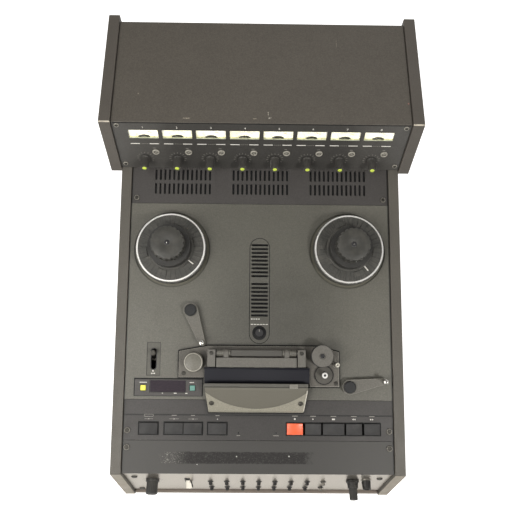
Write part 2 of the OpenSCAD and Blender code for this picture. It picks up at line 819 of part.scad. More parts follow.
module head_base() {
    left = slot_x0 - base_left;
    right = slot_x1 + base_right;
    front = cover_v + face_gap;
    left_front = gate_v - 19;
    right_front = gate_v - right_arm_front;
    shoulder = gate_v + 0.74 * base_rear;
    rear = gate_v + base_rear;
    outline = [
        [left, left_front], [left, shoulder], [slot_x0 + 5, rear], [slot_x1 + 20, rear], [right, shoulder],
        [right, right_front], [slot_x1 + 4, right_front], [slot_x1 + 4, front],
        [slot_x0 - 2, front], [slot_x0 - 2, left_front]
    ];
    seat_r = 16.5;
    seat_t = 3;
    post_foot = base_top + 4;
    post_head = base_top + 22;
    post_top = base_top + 25;
    color(GREY_DARK) deck_frame() difference() {
        union() {
            translate([0, 0, plate_top]) linear_extrude(base_t) polygon(outline);
            disc(capstan_at, seat_r, base_top - EPS, base_top + seat_t);
            disc(guide_at, pin_r, base_top - EPS, base_top + guide_r);
            disc(post_at, pin_r + 1.5, base_top - EPS, post_foot);
            disc(post_at, pin_r - 1, base_top - EPS, post_head);
            disc(post_at, pin_r, post_head - EPS, post_top);
        }
        disc(capstan_at, capstan_r + run_fit, 0, base_top + seat_t + 1);
        disc(pinch_pivot, pin_r + run_fit, 0, base_top + 1);
    }
}

// Three head stacks with round tape faces, standing under the gate
module tape_heads() {
    head_w = 24;
    head_d = 12;
    face_v = gate_v - 1;
    top = gate_w - face_gap;
    color(STEEL) deck_frame() for (i = [-1 : 1])
        translate([head_x + i * head_pitch, 0, 0]) intersection() {
            block([0, face_v + head_d / 2], [head_w, head_d], base_top, top);
            disc([0, face_v + head_w / 2 + 4], head_w / 2 + 4, base_top, top);
        }
}

// Face of the cover: its side outline, moved down by a depth
module cover_outline(drop) {
    v0 = cover_v - cover_len;
    lip = 4;
    polygon([
        [v0, 0], [v0, cover_nose_h * 0.6 - drop], [v0 + 3, cover_nose_h - drop],
        [cover_v - lip - 6, cover_h - 2 - drop], [cover_v - lip, cover_h - drop], [cover_v, cover_h - drop],
        [cover_v, 0]
    ]);
}

module head_cover() {
    half = slot_w / 2;
    v0 = cover_v - cover_len;
    arc_v = v0 + 7 + cover_arc_r;
    plan = [
        [-half + cover_taper, v0], [half - cover_taper, v0], [half, cover_v], [-half, cover_v]
    ];
    wall_scale = 1 - cover_wall / cover_h;
    color(GREY_DECK) deck_frame() translate([head_x, 0, plate_top]) difference() {
        intersection() {
            linear_extrude(cover_h + 1) polygon(plan);
            union() {
                across(slot_w) cover_outline(cover_sink);
                difference() {
                    across(slot_w) cover_outline(0);
                    disc([0, arc_v], cover_arc_r, -1, cover_h + 1);
                }
                intersection() {
                    across(slot_w) cover_outline(0);
                    block([0, cover_v - 2], [slot_w, 4], -1, cover_h + 1);
                }
            }
        }
        slab(slot_w - 2 * cover_taper - 2 * cover_wall, v0 + 3 * cover_wall, cover_len - 4 * cover_wall, -1,
            cover_nose_h - cover_wall);
        slab(slot_w - 2 * cover_taper - 2 * cover_wall, v0 + cover_len / 2, cover_len / 2 - cover_wall, -1,
            (cover_h + cover_nose_h) / 2 * wall_scale - cover_wall);
    }
}

// Two blocks on the base plate with the hinge bar and pin between them
module head_bridge() {
    block_v = gate_v + face_gap + block_len / 2;
    bar_w = 2 * (ear_x - ear_w / 2 - 4);
    color(GREY_PANEL) deck_frame() translate([head_x, 0, 0]) {
        for (s = [-1, 1])
            block([s * (bridge_w - block_w) / 2, block_v], [block_w, block_len], base_top, gate_w + gate_t);
        cross_rod(hinge_r, bridge_w - block_w, hinge_at);
        slab(bar_w, hinge_at[0] - hinge_bar[0] / 2, hinge_bar[0], hinge_at[1] - hinge_bar[1],
            hinge_at[1] + hinge_bar[2]);
    }
}

module head_gate() {
    width = bridge_w - 2 * block_w - 2 * gate_gap;
    color(GREY_DECK) deck_frame() translate([head_x, 0, 0]) difference() {
        union() {
            slab(width, gate_v, gate_len, gate_w, gate_w + gate_t);
            for (s = [-1, 1]) translate([s * ear_x, 0, 0]) {
                cross_rod(hinge_r + ear_wall, ear_w, hinge_at);
                slab(ear_w, hinge_at[0] - ear_reach, ear_reach, hinge_at[1] + 1, gate_w + gate_t - 1);
            }
        }
        cross_rod(hinge_r + run_fit, width + 2, hinge_at);
    }
}

module guide_roller() {
    w0 = base_top + face_gap;
    bore = pin_r + run_fit;
    waist = guide_r - 2;
    flange_t = 2.5;
    slope = 1;
    top = guide_r + 1;
    upper = top - flange_t - 1.5;
    color(GREY_DECK) deck_frame() translate([guide_at[0], guide_at[1], w0]) rotate_extrude()
        polygon([
            [bore, 0], [guide_r, 0], [guide_r, flange_t], [waist, flange_t + slope], [waist, upper - slope],
            [guide_r, upper], [guide_r, top - slope], [guide_r - slope, top], [bore, top]
        ]);
}

module capstan() {
    color(STEEL) deck_frame() translate([capstan_at[0], capstan_at[1], 0]) rotate_extrude()
        polygon([
            [0, -panel_t - motor_h + 10], [capstan_r, -panel_t - motor_h + 10], [capstan_r, capstan_h - 1],
            [capstan_r - 1, capstan_h], [2, capstan_h], [2, capstan_h - 1.5], [0, capstan_h - 1.5]
        ]);
}

module pinch_arm() {
    reach = pinch_at - pinch_pivot;
    w0 = base_top + face_gap;
    color(GREY_DARK) deck_frame() {
        translate([pinch_pivot[0], pinch_pivot[1], w0]) rotate([0, 0, atan2(reach[1], reach[0])])
            linear_extrude(arm_t) link_outline(norm(reach), 7, 6);
        disc(pinch_pivot, pin_r, plate_top + 1, w0 + EPS);
        disc(pinch_at, pin_r, w0 + arm_t - EPS, roller_w + pinch_h + 1);
    }
}

module pinch_roller() {
    color(BLACK) deck_frame() translate([pinch_at[0], pinch_at[1], roller_w]) rotate_extrude()
        polygon([
            [pin_r + run_fit, 0], [pinch_r - 1, 0], [pinch_r, 1], [pinch_r, pinch_h - 1],
            [pinch_r - 1, pinch_h], [pin_r + run_fit, pinch_h]
        ]);
}

// A tapered arm with a cap over its pivot, a shaft in the deck and a tape pin at its tip
module tension_arm(at, turn) {
    w0 = plate_top + arm_rise;
    w1 = w0 + arm_t;
    shaft_end = 4;
    step = 3;
    head_w = w1 + arm_pin_h - step;
    deck_frame() translate([at[0], at[1], 0]) rotate([0, 0, turn]) {
        disc([0, 0], shaft_r, -panel_t - bearing_len - shaft_end, plate_top + arm_rise / 2);
        disc([0, 0], shaft_r + step, plate_top + face_gap, w0 + EPS);
        translate([0, 0, w0]) linear_extrude(arm_t) link_outline(arm_len, arm_r, arm_tip_r);
        disc([0, 0], arm_r - step, w1 - EPS, w1 + step);
        disc([arm_len, 0], pin_r - 1, w1 - EPS, head_w);
        disc([arm_len, 0], pin_r, head_w - EPS, w1 + arm_pin_h);
    }
}

module left_tension_arm() {
    color(GREY_DECK) tension_arm(left_arm_at, left_arm_turn);
}

module right_tension_arm() {
    color(GREY_DECK) tension_arm(right_arm_at, right_arm_turn);
}

// Reel drives

module reel_table(side) {
    color(GREY_DARK) deck_frame() translate([side * reel_x, reel_v, 0]) rotate_extrude()
        polygon([
            [0, -motor_h + 10], [shaft_r, -motor_h + 10], [shaft_r, table_w - 2], [3 * shaft_r, table_w - 2],
            [3 * shaft_r, table_w], [table_r, table_w], [table_r, table_top - 1], [table_r - 1, table_top],
            [rim_r, table_top], [rim_r, rim_top], [rim_r - rim_w, rim_top], [rim_r - rim_w, table_top],
            [spindle_r, table_top], [spindle_r, table_top + spindle_len], [0, table_top + spindle_len]
        ]);
}

module left_reel_table() {
    reel_table(-1);
}

module right_reel_table() {
    reel_table(1);
}

// Hub adapter: ribbed flange, drum for the reel and the post that the lock turns on
module hub(side) {
    rib_r0 = hub_r + 5;
    rib_r1 = hub_flange_r - 1;
    flange_top = table_top + hub_flange_t;
    post_h = lock_h - 6;
    color(BLACK) deck_frame() translate([side * reel_x, reel_v, 0]) difference() {
        union() {
            disc([0, 0], hub_flange_r, table_top, flange_top);
            disc([0, 0], hub_r, flange_top - EPS, hub_top);
            disc([0, 0], 2 * pin_r, hub_top - EPS, hub_top + post_h);
            for (i = [0 : hub_ribs - 1]) rotate([0, 0, i * 360 / hub_ribs])
                translate([rib_r0, -0.9, flange_top - EPS]) cube([rib_r1 - rib_r0, 1.8, rib_h + EPS]);
        }
        disc([0, 0], spindle_r + run_fit, table_top - 1, table_top + spindle_len + 1);
    }
}

module left_hub() {
    hub(-1);
}

module right_hub() {
    hub(1);
}

module hub_lock(side) {
    z0 = hub_top + face_gap;
    color(BLACK) deck_frame() translate([side * reel_x, reel_v, 0]) difference() {
        union() {
            disc([0, 0], lock_r, z0, z0 + lock_h - 2);
            disc([0, 0], lock_r - 5, z0 + lock_h - 2 - EPS, z0 + lock_h);
        }
        for (i = [0 : lock_flutes - 1]) rotate([0, 0, i * 360 / lock_flutes])
            disc([lock_r + 0.8, 0], flute_r, z0 + 3, z0 + lock_h + 1);
        disc([0, 0], 2 * pin_r + run_fit, z0 - 1, z0 + lock_h - 5);
    }
}

module left_hub_lock() {
    hub_lock(-1);
}

module right_hub_lock() {
    hub_lock(1);
}

// Deck controls

// A push button with a dished top and a collar under the panel that holds it in
module push_button(x, width, tint = BLACK) {
    dish_r = 90;
    dish = 0.6;
    collar_side = 3;
    collar_end = 2;
    collar = [width - 2 * collar_side, button_d + 2 * collar_end];
    color(tint) deck_frame() difference() {
        union() {
            block([x, press_v], [width, button_d], -button_drop, button_rise);
            block([x, press_v], collar, -button_drop, -panel_t - side_gap);
        }
        translate([x, 0, 0]) cross_rod(dish_r, width + 1, [press_v, button_rise - dish + dish_r]);
    }
}

module speed_button() {
    push_button(left_presses[0], button_w);
}

module reel_size_button() {
    push_button(left_presses[1], button_w);
}

module edit_button() {
    push_button(left_presses[2], button_w);
}

module locate_button() {
    push_button(left_presses[3], button_w);
}

module record_button() {
    push_button(key_x[0], key_w, "#f4633a");
}

module play_button() {
    push_button(key_x[1], key_w);
}

module stop_button() {
    push_button(key_x[2], stop_w);
}

module rewind_button() {
    push_button(key_x[3], key_w);
}

module forward_button() {
    push_button(key_x[4], key_w);
}

counter_drop = 26;
counter_rise = 1;
counter_pocket = 12;

module counter_unit() {
    top = plate_top + counter_rise;
    color(BLACK) deck_frame() difference() {
        block(counter_at, [counter_w, counter_d], -counter_drop, top);
        block([counter_at[0] - 1, counter_at[1] + 2], counter_window, top - 1, top + 1);
        for (x = counter_keys_x)
            block([x, counter_at[1] - 0.6], [counter_key + 2 * side_gap, counter_key + 2 * side_gap],
                top - counter_pocket, top + 1);
    }
}

module counter_button(x) {
    top = plate_top + counter_rise;
    bottom = top - counter_pocket + button_travel;
    deck_frame() block([x, counter_at[1] - 0.6], [counter_key, counter_key], bottom, top + 2);
}

module counter_reset_button() {
    color("#fff84a") counter_button(counter_keys_x[0]);
}

module counter_mode_button() {
    color("#6fbfa4") counter_button(counter_keys_x[1]);
}

module speaker_knob() {
    color(BLACK) deck_frame() translate([speaker_knob_at[0], speaker_knob_at[1], 0]) {
        disc([0, 0], pin_r, -panel_t - 12, 1);
        difference() {
            disc([0, 0], speaker_knob_r, 1 - EPS, 6);
            block([0, speaker_knob_r - 2], [1, 4], 5.4, 7);
        }
    }
}

module cue_lever() {
    stick = 5;
    tip = 34;
    ball_r = 4.6;
    color(STEEL) deck_frame() translate([cue_at[0], cue_at[1], cue_axle_w]) rotate([-cue_turn, 0, 0]) {
        cross_rod(pin_r, cue_lug_gap + 2 * cue_lug_t, [0, 0]);
        cross_rod(cue_lug_r, cue_lug_gap - 2 * face_gap, [0, 0]);
        block([0, 0], [stick, stick], 0, tip);
        translate([0, 0, tip]) sphere(r = ball_r);
    }
}

// Amplifier bridge

module amp_side_boards() {
    top = amp_top_z + board_lip;
    outline = [
        [meter_line(amp_z, -board_lip), amp_z], [meter_line(top, -board_lip), top], [amp_rear, top],
        [amp_rear, amp_z]
    ];
    color(GREY_BOARD) base_frame() for (s = [-1, 1])
        translate([s * (console_w + amp_board_t) / 2, 0, 0]) across(amp_board_t) polygon(outline);
}

module meter_panel() {
    color(GREY_DARK) meter_frame() difference() {
        slab(console_w - 2 * side_gap, panel_foot, meter_len - panel_t - panel_foot, -panel_t, 0);
        for (i = channels) {
            block([channel_x(i), window_s], [window_w, window_h], -panel_t - 1, 1);
            disc([channel_x(i) + level_x, level_s], pin_r + side_gap, -panel_t - 1, 1);
        }
    }
}

module meter_units() {
    color("#efe9c9") meter_frame() for (i = channels) difference() {
        block([channel_x(i), window_s - 4], [window_w + 4, window_h + 12], -panel_t - meter_d, -panel_t);
        block([channel_x(i), window_s], [window_w, window_h], -panel_t - 2, 0);
    }
}

// The bridge's floor, rear wall and side flanges, with the legs bolted to the console's rear
module amp_base_pan() {
    y0 = meter_line(pan_z + tray_t, panel_t) + side_gap;
    wall_top = amp_top_z - tray_t;
    leg_y = rear_y - rear_inset;
    leg_t = 4;
    gusset = leg_h * 0.8;
    side_z = pan_z + 30;
    side_cut = 12;
    color(BLACK) base_frame() {
        translate([-console_w / 2, y0, pan_z]) cube([console_w, amp_wall_y - y0, tray_t]);
        translate([-console_w / 2, amp_wall_y - tray_t, pan_z]) cube([console_w, tray_t, wall_top - pan_z]);
        for (s = [-1, 1]) translate([s * (console_w - tray_t) / 2, 0, 0]) across(tray_t)
            polygon([[y0, pan_z], [y0 + side_cut, side_z], [amp_wall_y, side_z], [amp_wall_y, pan_z]]);
        for (s = [-1, 1]) translate([s * leg_x, 0, 0]) {
            translate([-leg_w / 2, leg_y, pan_z - leg_h]) cube([leg_w, leg_t, leg_h + EPS]);
            across(leg_t) polygon([
                [leg_y + leg_t - EPS, pan_z + EPS], [leg_y + leg_t - EPS, pan_z - gusset],
                [leg_y + leg_t + gusset, pan_z + EPS]
            ]);
        }
    }
}

module amp_cover() {
    top = amp_top_z;
    flange = 26;
    back = amp_wall_y + tray_t;
    color(GREY_BOARD) base_frame() across(console_w - 2 * side_gap) polygon([
        [meter_line(top, -0.5), top], [back, top], [back, top - flange], [amp_wall_y, top - flange],
        [amp_wall_y, top - tray_t], [meter_line(top - tray_t, -0.5), top - tray_t]
    ]);
}

// One card per channel, with the level control on its front edge
module channel_cards() {
    card_t = 1.6;
    card_h = 48;
    z0 = pan_z + tray_t;
    pot_r = 8;
    pot_d = 12;
    color("#3d5a40") for (i = channels) difference() {
        union() {
            base_frame() translate([channel_x(i), 0, 0]) across(card_t) polygon([
                [meter_line(z0, panel_t + 4), z0], [meter_line(z0 + card_h, panel_t + 4), z0 + card_h],
                [amp_wall_y - 40, z0 + card_h], [amp_wall_y - 40, z0]
            ]);
            meter_frame() disc([channel_x(i) + level_x, level_s], pot_r, -panel_t - pot_d, -panel_t);
        }
        meter_frame() disc([channel_x(i) + level_x, level_s], pin_r - 1 + run_fit, -panel_t - pot_d - 1, 1);
    }
}

// A phono socket: nut, barrel and the bore for the centre contact
module phono_socket() {
    nut_r = 6.5;
    nut_t = 2.5;
    barrel_r = 4.15;
    barrel_len = 11;
    contact_r = 1.6;
    floor_t = 2;
    rotate([-90, 0, 0]) difference() {
        union() {
            cylinder(r = nut_r, h = nut_t);
            cylinder(r = barrel_r, h = barrel_len);
        }
        translate([0, 0, floor_t]) cylinder(r = contact_r, h = barrel_len - floor_t + 1);
    }
}

// Two rows of phono sockets on the bridge and the mains inlet on the console
module rear_sockets() {
    rise = 30;
    row_pitch = 32;
    rows = [pan_z + rise, pan_z + rise + row_pitch];
    wall_y = rear_y - rear_inset;
    flange = [inlet_w + 22, 3, inlet_h + 9];
    wall = 2;
    depth = 20;
    blade = [2, 13, 4];
    color(BLACK) base_frame() {
        for (i = channels, z = rows) translate([channel_x(i), amp_wall_y, z]) phono_socket();
        translate([inlet_x, wall_y, inlet_z]) {
            difference() {
                union() {
                    translate([-flange[0] / 2, 0, -flange[2] / 2]) cube(flange);
                    translate([-inlet_w / 2 + side_gap, -depth, -inlet_h / 2 + side_gap])
                        cube([inlet_w - 2 * side_gap, depth + 1, inlet_h - 2 * side_gap]);
                }
                translate([-inlet_w / 2 + wall, -depth + wall, -inlet_h / 2 + wall])
                    cube([inlet_w - 2 * wall, depth + flange[1] + 1, inlet_h - 2 * wall]);
            }
            for (p = [[-7, -2], [0, 2], [7, -2]])
                translate([p[0] - blade[0] / 2, -depth + 1, p[1] - blade[2] / 2]) cube(blade);
        }
    }
}

// A level knob: shaft in its control, fluted grip and a round tip
module level_knob(i) {
    flutes = 16;
    groove_r = 0.8;
    skirt = 4;
    shaft_drop = 10;
    color(BLACK) meter_frame() translate([channel_x(i) + level_x, level_s, 0]) {
        disc([0, 0], pin_r - 1, -panel_t - shaft_drop, face_gap + EPS);
        difference() {
            disc([0, 0], level_r, face_gap, level_len);
            for (k = [0 : flutes - 1]) rotate([0, 0, k * 360 / flutes])
                disc([level_r + 0.3, 0], groove_r, skirt, level_len + 1);
        }
    }
}

deck_side_boards();
base_tray();
vent_panel();
deck_plate();
button_panel();
lower_panel();
front_panel();
rubber_feet();
drive_motors();
power_supply();
head_base();
tape_heads();
head_cover();
head_bridge();
counter_unit();
amp_cover();
meter_panel();
amp_side_boards();
amp_base_pan();
meter_units();
channel_cards();
rear_sockets();
phone_jack();
front_switches();
left_reel_table();
right_reel_table();
left_hub();
right_hub();
left_hub_lock();
right_hub_lock();
capstan();
pinch_arm();
pinch_roller();
guide_roller();
left_tension_arm();
right_tension_arm();
cue_lever();
head_gate();
speed_button();
reel_size_button();
edit_button();
locate_button();
record_button();
play_button();
stop_button();
rewind_button();
forward_button();
counter_reset_button();
counter_mode_button();
speaker_knob();
left_front_knob();
right_front_knob();
for (i = channels) level_knob(i);
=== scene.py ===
import math

import bpy
from mathutils import Matrix, Vector
from mathutils.geometry import delaunay_2d_cdt


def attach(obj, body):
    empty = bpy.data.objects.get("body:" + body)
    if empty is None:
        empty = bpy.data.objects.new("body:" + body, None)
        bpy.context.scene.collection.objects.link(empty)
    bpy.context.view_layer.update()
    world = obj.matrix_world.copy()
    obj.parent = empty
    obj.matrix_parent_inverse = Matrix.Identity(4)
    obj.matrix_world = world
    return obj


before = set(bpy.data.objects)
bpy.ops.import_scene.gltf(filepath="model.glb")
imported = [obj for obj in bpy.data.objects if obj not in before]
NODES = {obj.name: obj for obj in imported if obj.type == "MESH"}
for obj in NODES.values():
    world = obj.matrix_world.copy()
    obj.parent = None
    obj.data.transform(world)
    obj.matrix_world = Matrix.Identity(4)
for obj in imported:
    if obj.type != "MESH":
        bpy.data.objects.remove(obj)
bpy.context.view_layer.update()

MM = 0.001
SIDES = (-1, 1)
CHANNELS = range(8)

# Sizes of the CAD source in millimetres
PANEL_W, PANEL_GAP, PANEL_T, BOARD_T, BOARD_LIP = 482.6, 1.0, 3.0, 19.0, 4.0
DECK_LEN, DECK_TILT, FRONT_H, FRONT_LEAN, FOOT_H = 622.0, 12.0, 168.0, 11.0, 12.0
FRONT_RECESS, REAR_INSET, PLATE_TOP = 6.0, 6.0, 1.0
AMP_OVERLAP, METER_LEN, METER_LEAN, AMP_TOP_LEN, AMP_REAR_INSET = 65.0, 128.8, 11.0, 224.0, 14.0
AMP_BOARD_T, CHANNEL_PITCH, LEVEL_X, LEVEL_S, LEVEL_LEN = 20.0, 59.6, -4.0, 34.0, 25.0
WINDOW_W, WINDOW_H, WINDOW_S = 52.3, 21.4, 96.8
FRONT_KNOB_S, LEFT_KNOB_R, LEFT_KNOB_LEN, RIGHT_KNOB_R, RIGHT_KNOB_LEN = 108.0, 10.5, 25.5, 7.6, 34.0
LEFT_KNOB_X, RIGHT_KNOB_X, KNOB_NECK, JACK_RISE = -194.8, 176.5, 10.0, 8.0
SWITCH_X, SWITCH_PITCH, POWER_X, POWER_S, JACK_X = 17.7, 30.2, -130.0, 104.0, 202.0
REEL_X, REEL_V, TABLE_TOP, RIM_R, RIM_W, RIM_H = 163.0, 404.0, 20.5, 63.2, 3.6, 3.0
FLANGE_TOP, LOCK_TOP = 25.5, 77.0
BASE_TOP, GATE_W, GATE_V, GATE_T, HEAD_X, SLOT_W, COVER_V = 9.0, 27.0, 190.0, 3.0, -5.0, 184.0, 160.0
COVER_LEN, COVER_H, COVER_NOSE, COVER_TAPER, ARC_V = 50.0, 28.0, 9.0, 7.5, 269.0
HINGE_V, HINGE_W, PLATE_V, CUE_X, CUE_V = 214.5, 22.0, 131.6, -191.0, 203.0
CAPSTAN, PINCH, GUIDE, POST = (116.3, 176.6), (111.8, 210.3), (-117.0, 198.0), (138.0, 195.0)
ARMS = {"left": ((-125.2, 291.0), -69.4), "right": ((162.6, 155.5), 9.7)}
ARM_LEN, ARM_TOP, ARM_PIN_TOP = 63.0, 12.0, 29.0
STRIP_V, STRIP_LEN, STRIP_W, STRIP_PITCH, SPEAKER_KNOB_S = 231.0, 196.0, 38.0, 7.25, 20.0
LEFT_X, KEY_X = (-196.5, -151.3, -117.5, -73.7), (64.8, 97.6, 134.2, 170.8, 203.1)
PRESS_V, OPENING_D, BUTTON_W, KEY_W = 80.98, 20.4, 33.8, 29.2

# Sizes of the pieces made here
INK, FRONT_INK, SCALE_INK = (-0.05, 0.06), (-0.05, 0.05), (0.38, 0.46)
PANEL_SCREW, PANEL_CUP = 3.2, 5.6
DIAL_N, NEEDLE_PIVOT, SCALE_R = -PANEL_T - 2.0, -WINDOW_H / 2 - 14.0, 28.0
FRAME_W, SHADOW_W, HIGHLIGHT_W = 1.5, 1.4, 1.3


def sin(deg):
    return math.sin(math.radians(deg))


def cos(deg):
    return math.cos(math.radians(deg))


INNER_W = PANEL_W + 2 * PANEL_GAP
CONSOLE_W = INNER_W + 2 * BOARD_T
DECK_Y = FRONT_H * math.tan(math.radians(FRONT_LEAN))
DECK_Z = FOOT_H + FRONT_H
REAR_Y = DECK_Y + DECK_LEN * cos(DECK_TILT)
AMP_V = DECK_LEN - AMP_OVERLAP
AMP_Y = DECK_Y + AMP_V * cos(DECK_TILT)
AMP_Z = DECK_Z + AMP_V * sin(DECK_TILT)
AMP_TOP_Z = AMP_Z + METER_LEN * cos(METER_LEAN)
AMP_REAR = AMP_Y + METER_LEN * sin(METER_LEAN) + AMP_TOP_LEN
PAN_Z = DECK_Z + DECK_LEN * sin(DECK_TILT) + BOARD_LIP / cos(DECK_TILT) + 0.4
KNOB_REACH = (FRONT_KNOB_S - RIGHT_KNOB_R) * sin(FRONT_LEAN) - (RIGHT_KNOB_LEN - FRONT_RECESS) * cos(FRONT_LEAN)
MIDDLE_Y = (min(0.0, KNOB_REACH) + AMP_REAR) / 2
SLOT_X0, SLOT_X1 = HEAD_X - SLOT_W / 2, HEAD_X + SLOT_W / 2
COVER_V0, LIP_TOP = COVER_V - COVER_LEN, PLATE_TOP + COVER_H
COVER_RISE, COVER_RUN = COVER_H - 2 - COVER_NOSE, COVER_LEN - 13


def shift(x, y, z):
    return Matrix.Translation((x, y, z))


def turn(deg, axis):
    return Matrix.Rotation(math.radians(deg), 4, axis)


# Frames of the faces, in millimetres; LYING turns a side view into the deck, drawn out from left to right
BASE = shift(0, -MIDDLE_Y, 0)
DECK = BASE @ shift(0, DECK_Y, DECK_Z) @ turn(DECK_TILT, "X")
FRONT = BASE @ shift(0, 0, FOOT_H) @ turn(90 - FRONT_LEAN, "X")
FACE = FRONT @ shift(0, 0, -FRONT_RECESS)
METER = BASE @ shift(0, AMP_Y, AMP_Z) @ turn(90 - METER_LEAN, "X")
AMP_BACK = BASE @ shift(0, AMP_REAR - AMP_REAR_INSET, 0) @ turn(90, "X") @ turn(180, "Y")
CONSOLE_BACK = BASE @ shift(0, REAR_Y - REAR_INSET, 0) @ turn(90, "X") @ turn(180, "Y")
LYING = Matrix(((0, 0, 1, 0), (1, 0, 0, 0), (0, 1, 0, 0), (0, 0, 0, 1)))


def channel_x(i):
    return (i - 3.5) * CHANNEL_PITCH


def switch_x(i):
    return SWITCH_X + (i - 3.5) * SWITCH_PITCH


# Outlines and shapes in millimetres; a shape is its vertices and its faces


def circle(r, n=32, at=(0, 0)):
    return [(at[0] + r * cos(360 * i / n), at[1] + r * sin(360 * i / n)) for i in range(n)]


def arc(r, a0, a1, n, at=(0, 0), tall=None):
    """Points from one angle to another on a circle, or on an oval that is so tall."""
    angles = [a0 + (a1 - a0) * k / n for k in range(n + 1)]
    return [(at[0] + r * cos(a), at[1] + (tall or r) * sin(a)) for a in angles]


def band(r0, r1, a0, a1, n):
    return arc(r1, a0, a1, n) + arc(r0, a1, a0, n)


def rect(w, h, at=(0, 0)):
    return [(at[0] + sx * w / 2, at[1] + sy * h / 2) for sx, sy in ((-1, -1), (1, -1), (1, 1), (-1, 1))]


def rounded(w, h, r, n=5, at=(0, 0)):
    out = []
    for k, (sx, sy) in enumerate(((1, 1), (-1, 1), (-1, -1), (1, -1))):
        out += arc(r, 90 * k, 90 * k + 90, n, (at[0] + sx * (w / 2 - r), at[1] + sy * (h / 2 - r)))
    return out


def offset(outline, d):
    out, n = [], len(outline)
    for i in range(n):
        p, q, r = Vector(outline[i - 1]), Vector(outline[i]), Vector(outline[(i + 1) % n])
        a, b = (q - p).normalized(), (r - q).normalized()
        m = Vector((a.y + b.y, -a.x - b.x))
        out.append(tuple(q + m * (d * 2 / max(m.length_squared, 0.2))))
    return out


def weld(verts, faces):
    """Join the vertices that share a place, and drop the faces that this folds."""
    seen, out, index = {}, [], []
    for v in verts:
        key = tuple(round(c, 4) for c in v)
        if key not in seen:
            seen[key] = len(out)
            out.append(v)
        index.append(seen[key])
    joined = [[index[i] for i in f] for f in faces]
    return out, [f for f in joined if len(set(f)) == len(f)]


def merge(*parts):
    verts, faces = [], []
    for v, f in parts:
        n = len(verts)
        verts += v
        faces += [[n + i for i in g] for g in f]
    return weld(verts, faces)


def lathe(profile, n=48):
    """Turn a profile of radii and heights; one with both ends off the axis is a ring."""
    verts, faces, rings = [], [], []
    for r, z in profile:
        ring_points = [(x, y, z) for x, y in circle(r, n)] if r else [(0.0, 0.0, z)]
        rings.append(range(len(verts), len(verts) + len(ring_points)))
        verts += ring_points
    pairs = list(zip(rings, rings[1:]))
    if profile[0][0] and profile[-1][0]:
        pairs.append((rings[-1], rings[0]))
    for a, b in pairs:
        for i in range(n):
            j = (i + 1) % n
            corners = (a[i % len(a)], a[j % len(a)], b[j % len(b)], b[i % len(b)])
            face = tuple(dict.fromkeys(corners))
            if len(face) > 2:
                faces.append(face)
    return verts, faces


def ring(r0, r1, z0, z1, n=32):
    return lathe([(r0, z0), (r1, z0), (r1, z1), (r0, z1)], n)


def cap(r, z0, z1, slope_r, slope_z, top, n):
    return lathe([(0, z0), (r, z0), (r, z1), (slope_r, slope_z), (0, top)], n)


def prism(outline, z0, z1, chamfer=0.0):
    n = len(outline)
    rings = [[(x, y, z0) for x, y in outline], [(x, y, z1 - chamfer) for x, y in outline]]
    if chamfer:
        rings.append([(x, y, z1) for x, y in offset(outline, -chamfer)])
    faces = [tuple(reversed(range(n)))]
    for k in range(len(rings) - 1):
        faces += [(k * n + i, k * n + (i + 1) % n, (k + 1) * n + (i + 1) % n, (k + 1) * n + i) for i in range(n)]
    faces.append(tuple(range((len(rings) - 1) * n, len(rings) * n)))
    return [v for points in rings for v in points], faces


def bar(w, h, x, y, z=INK):
    return prism(rect(w, h, (x, y)), *z)


def upward(points, face):
    a, b, c = (Vector(points[i][:2]) for i in face[:3])
    return tuple(face) if (b - a).cross(c - a) > 0 else tuple(reversed(face))


def fill(outer, holes, z, up=True):
    points, loops = [], []
    for loop in (outer, *holes):
        loops.append(list(range(len(points), len(points) + len(loop))))
        points += [Vector(p) for p in loop]
    edges = [(loop[i - 1], loop[i]) for loop in loops for i in range(len(loop))]
    verts, _, tris, *_ = delaunay_2d_cdt(points, edges, loops, 2, 1e-6)
    faces = [upward(verts, t) for t in tris]
    return [(v.x, v.y, z) for v in verts], faces if up else [f[::-1] for f in faces]


def wall(outline, z0, z1, outwards=True, top=None):
    n = len(outline)
    verts = [(x, y, z0) for x, y in outline] + [(x, y, z1) for x, y in top or outline]
    faces = [(i, (i + 1) % n, n + (i + 1) % n, n + i) for i in range(n)]
    return verts, faces if outwards else [f[::-1] for f in faces]


def plate(outer, holes, z0, z1):
    sides = [wall(h, z0, z1, False) for h in holes]
    return merge(fill(outer, holes, z1), fill(outer, holes, z0, False), wall(outer, z0, z1), *sides)


def frame_plate(outline, out, inside, z0, z1):
    """Thin frame that follows an outline, from so far inside it to so far outside."""
    return plate(offset(outline, out), [offset(outline, inside)], z0, z1)


def screw_head(r, h):
    """Round head with a tapered cross recess."""
    n, rim, arm, half, depth = 24, 0.74 * r, 0.5 * r, 0.11 * r, h - 0.4 * r
    quarter = [(arm, -half), (arm, half), (half, half)]
    cross = [(x * cos(a) - y * sin(a), x * sin(a) + y * cos(a)) for a in (0, 90, 180, 270) for x, y in quarter]
    low = [(0.7 * x, 0.7 * y) for x, y in cross]
    sides = lathe([(0, 0), (r, 0), (r, 0.4 * h), (0.93 * r, 0.75 * h), (rim, h)], n)
    return merge(sides, fill(circle(rim, n), [cross], h), wall(low, depth, h, False, cross), fill(low, [], depth))


def cup_washer(r, h):
    return lathe([(0.55 * r, 0), (r, 0), (r, 0.25 * h), (0.86 * r, h), (0.7 * r, h), (0.55 * r, 0.5 * h)], 32)


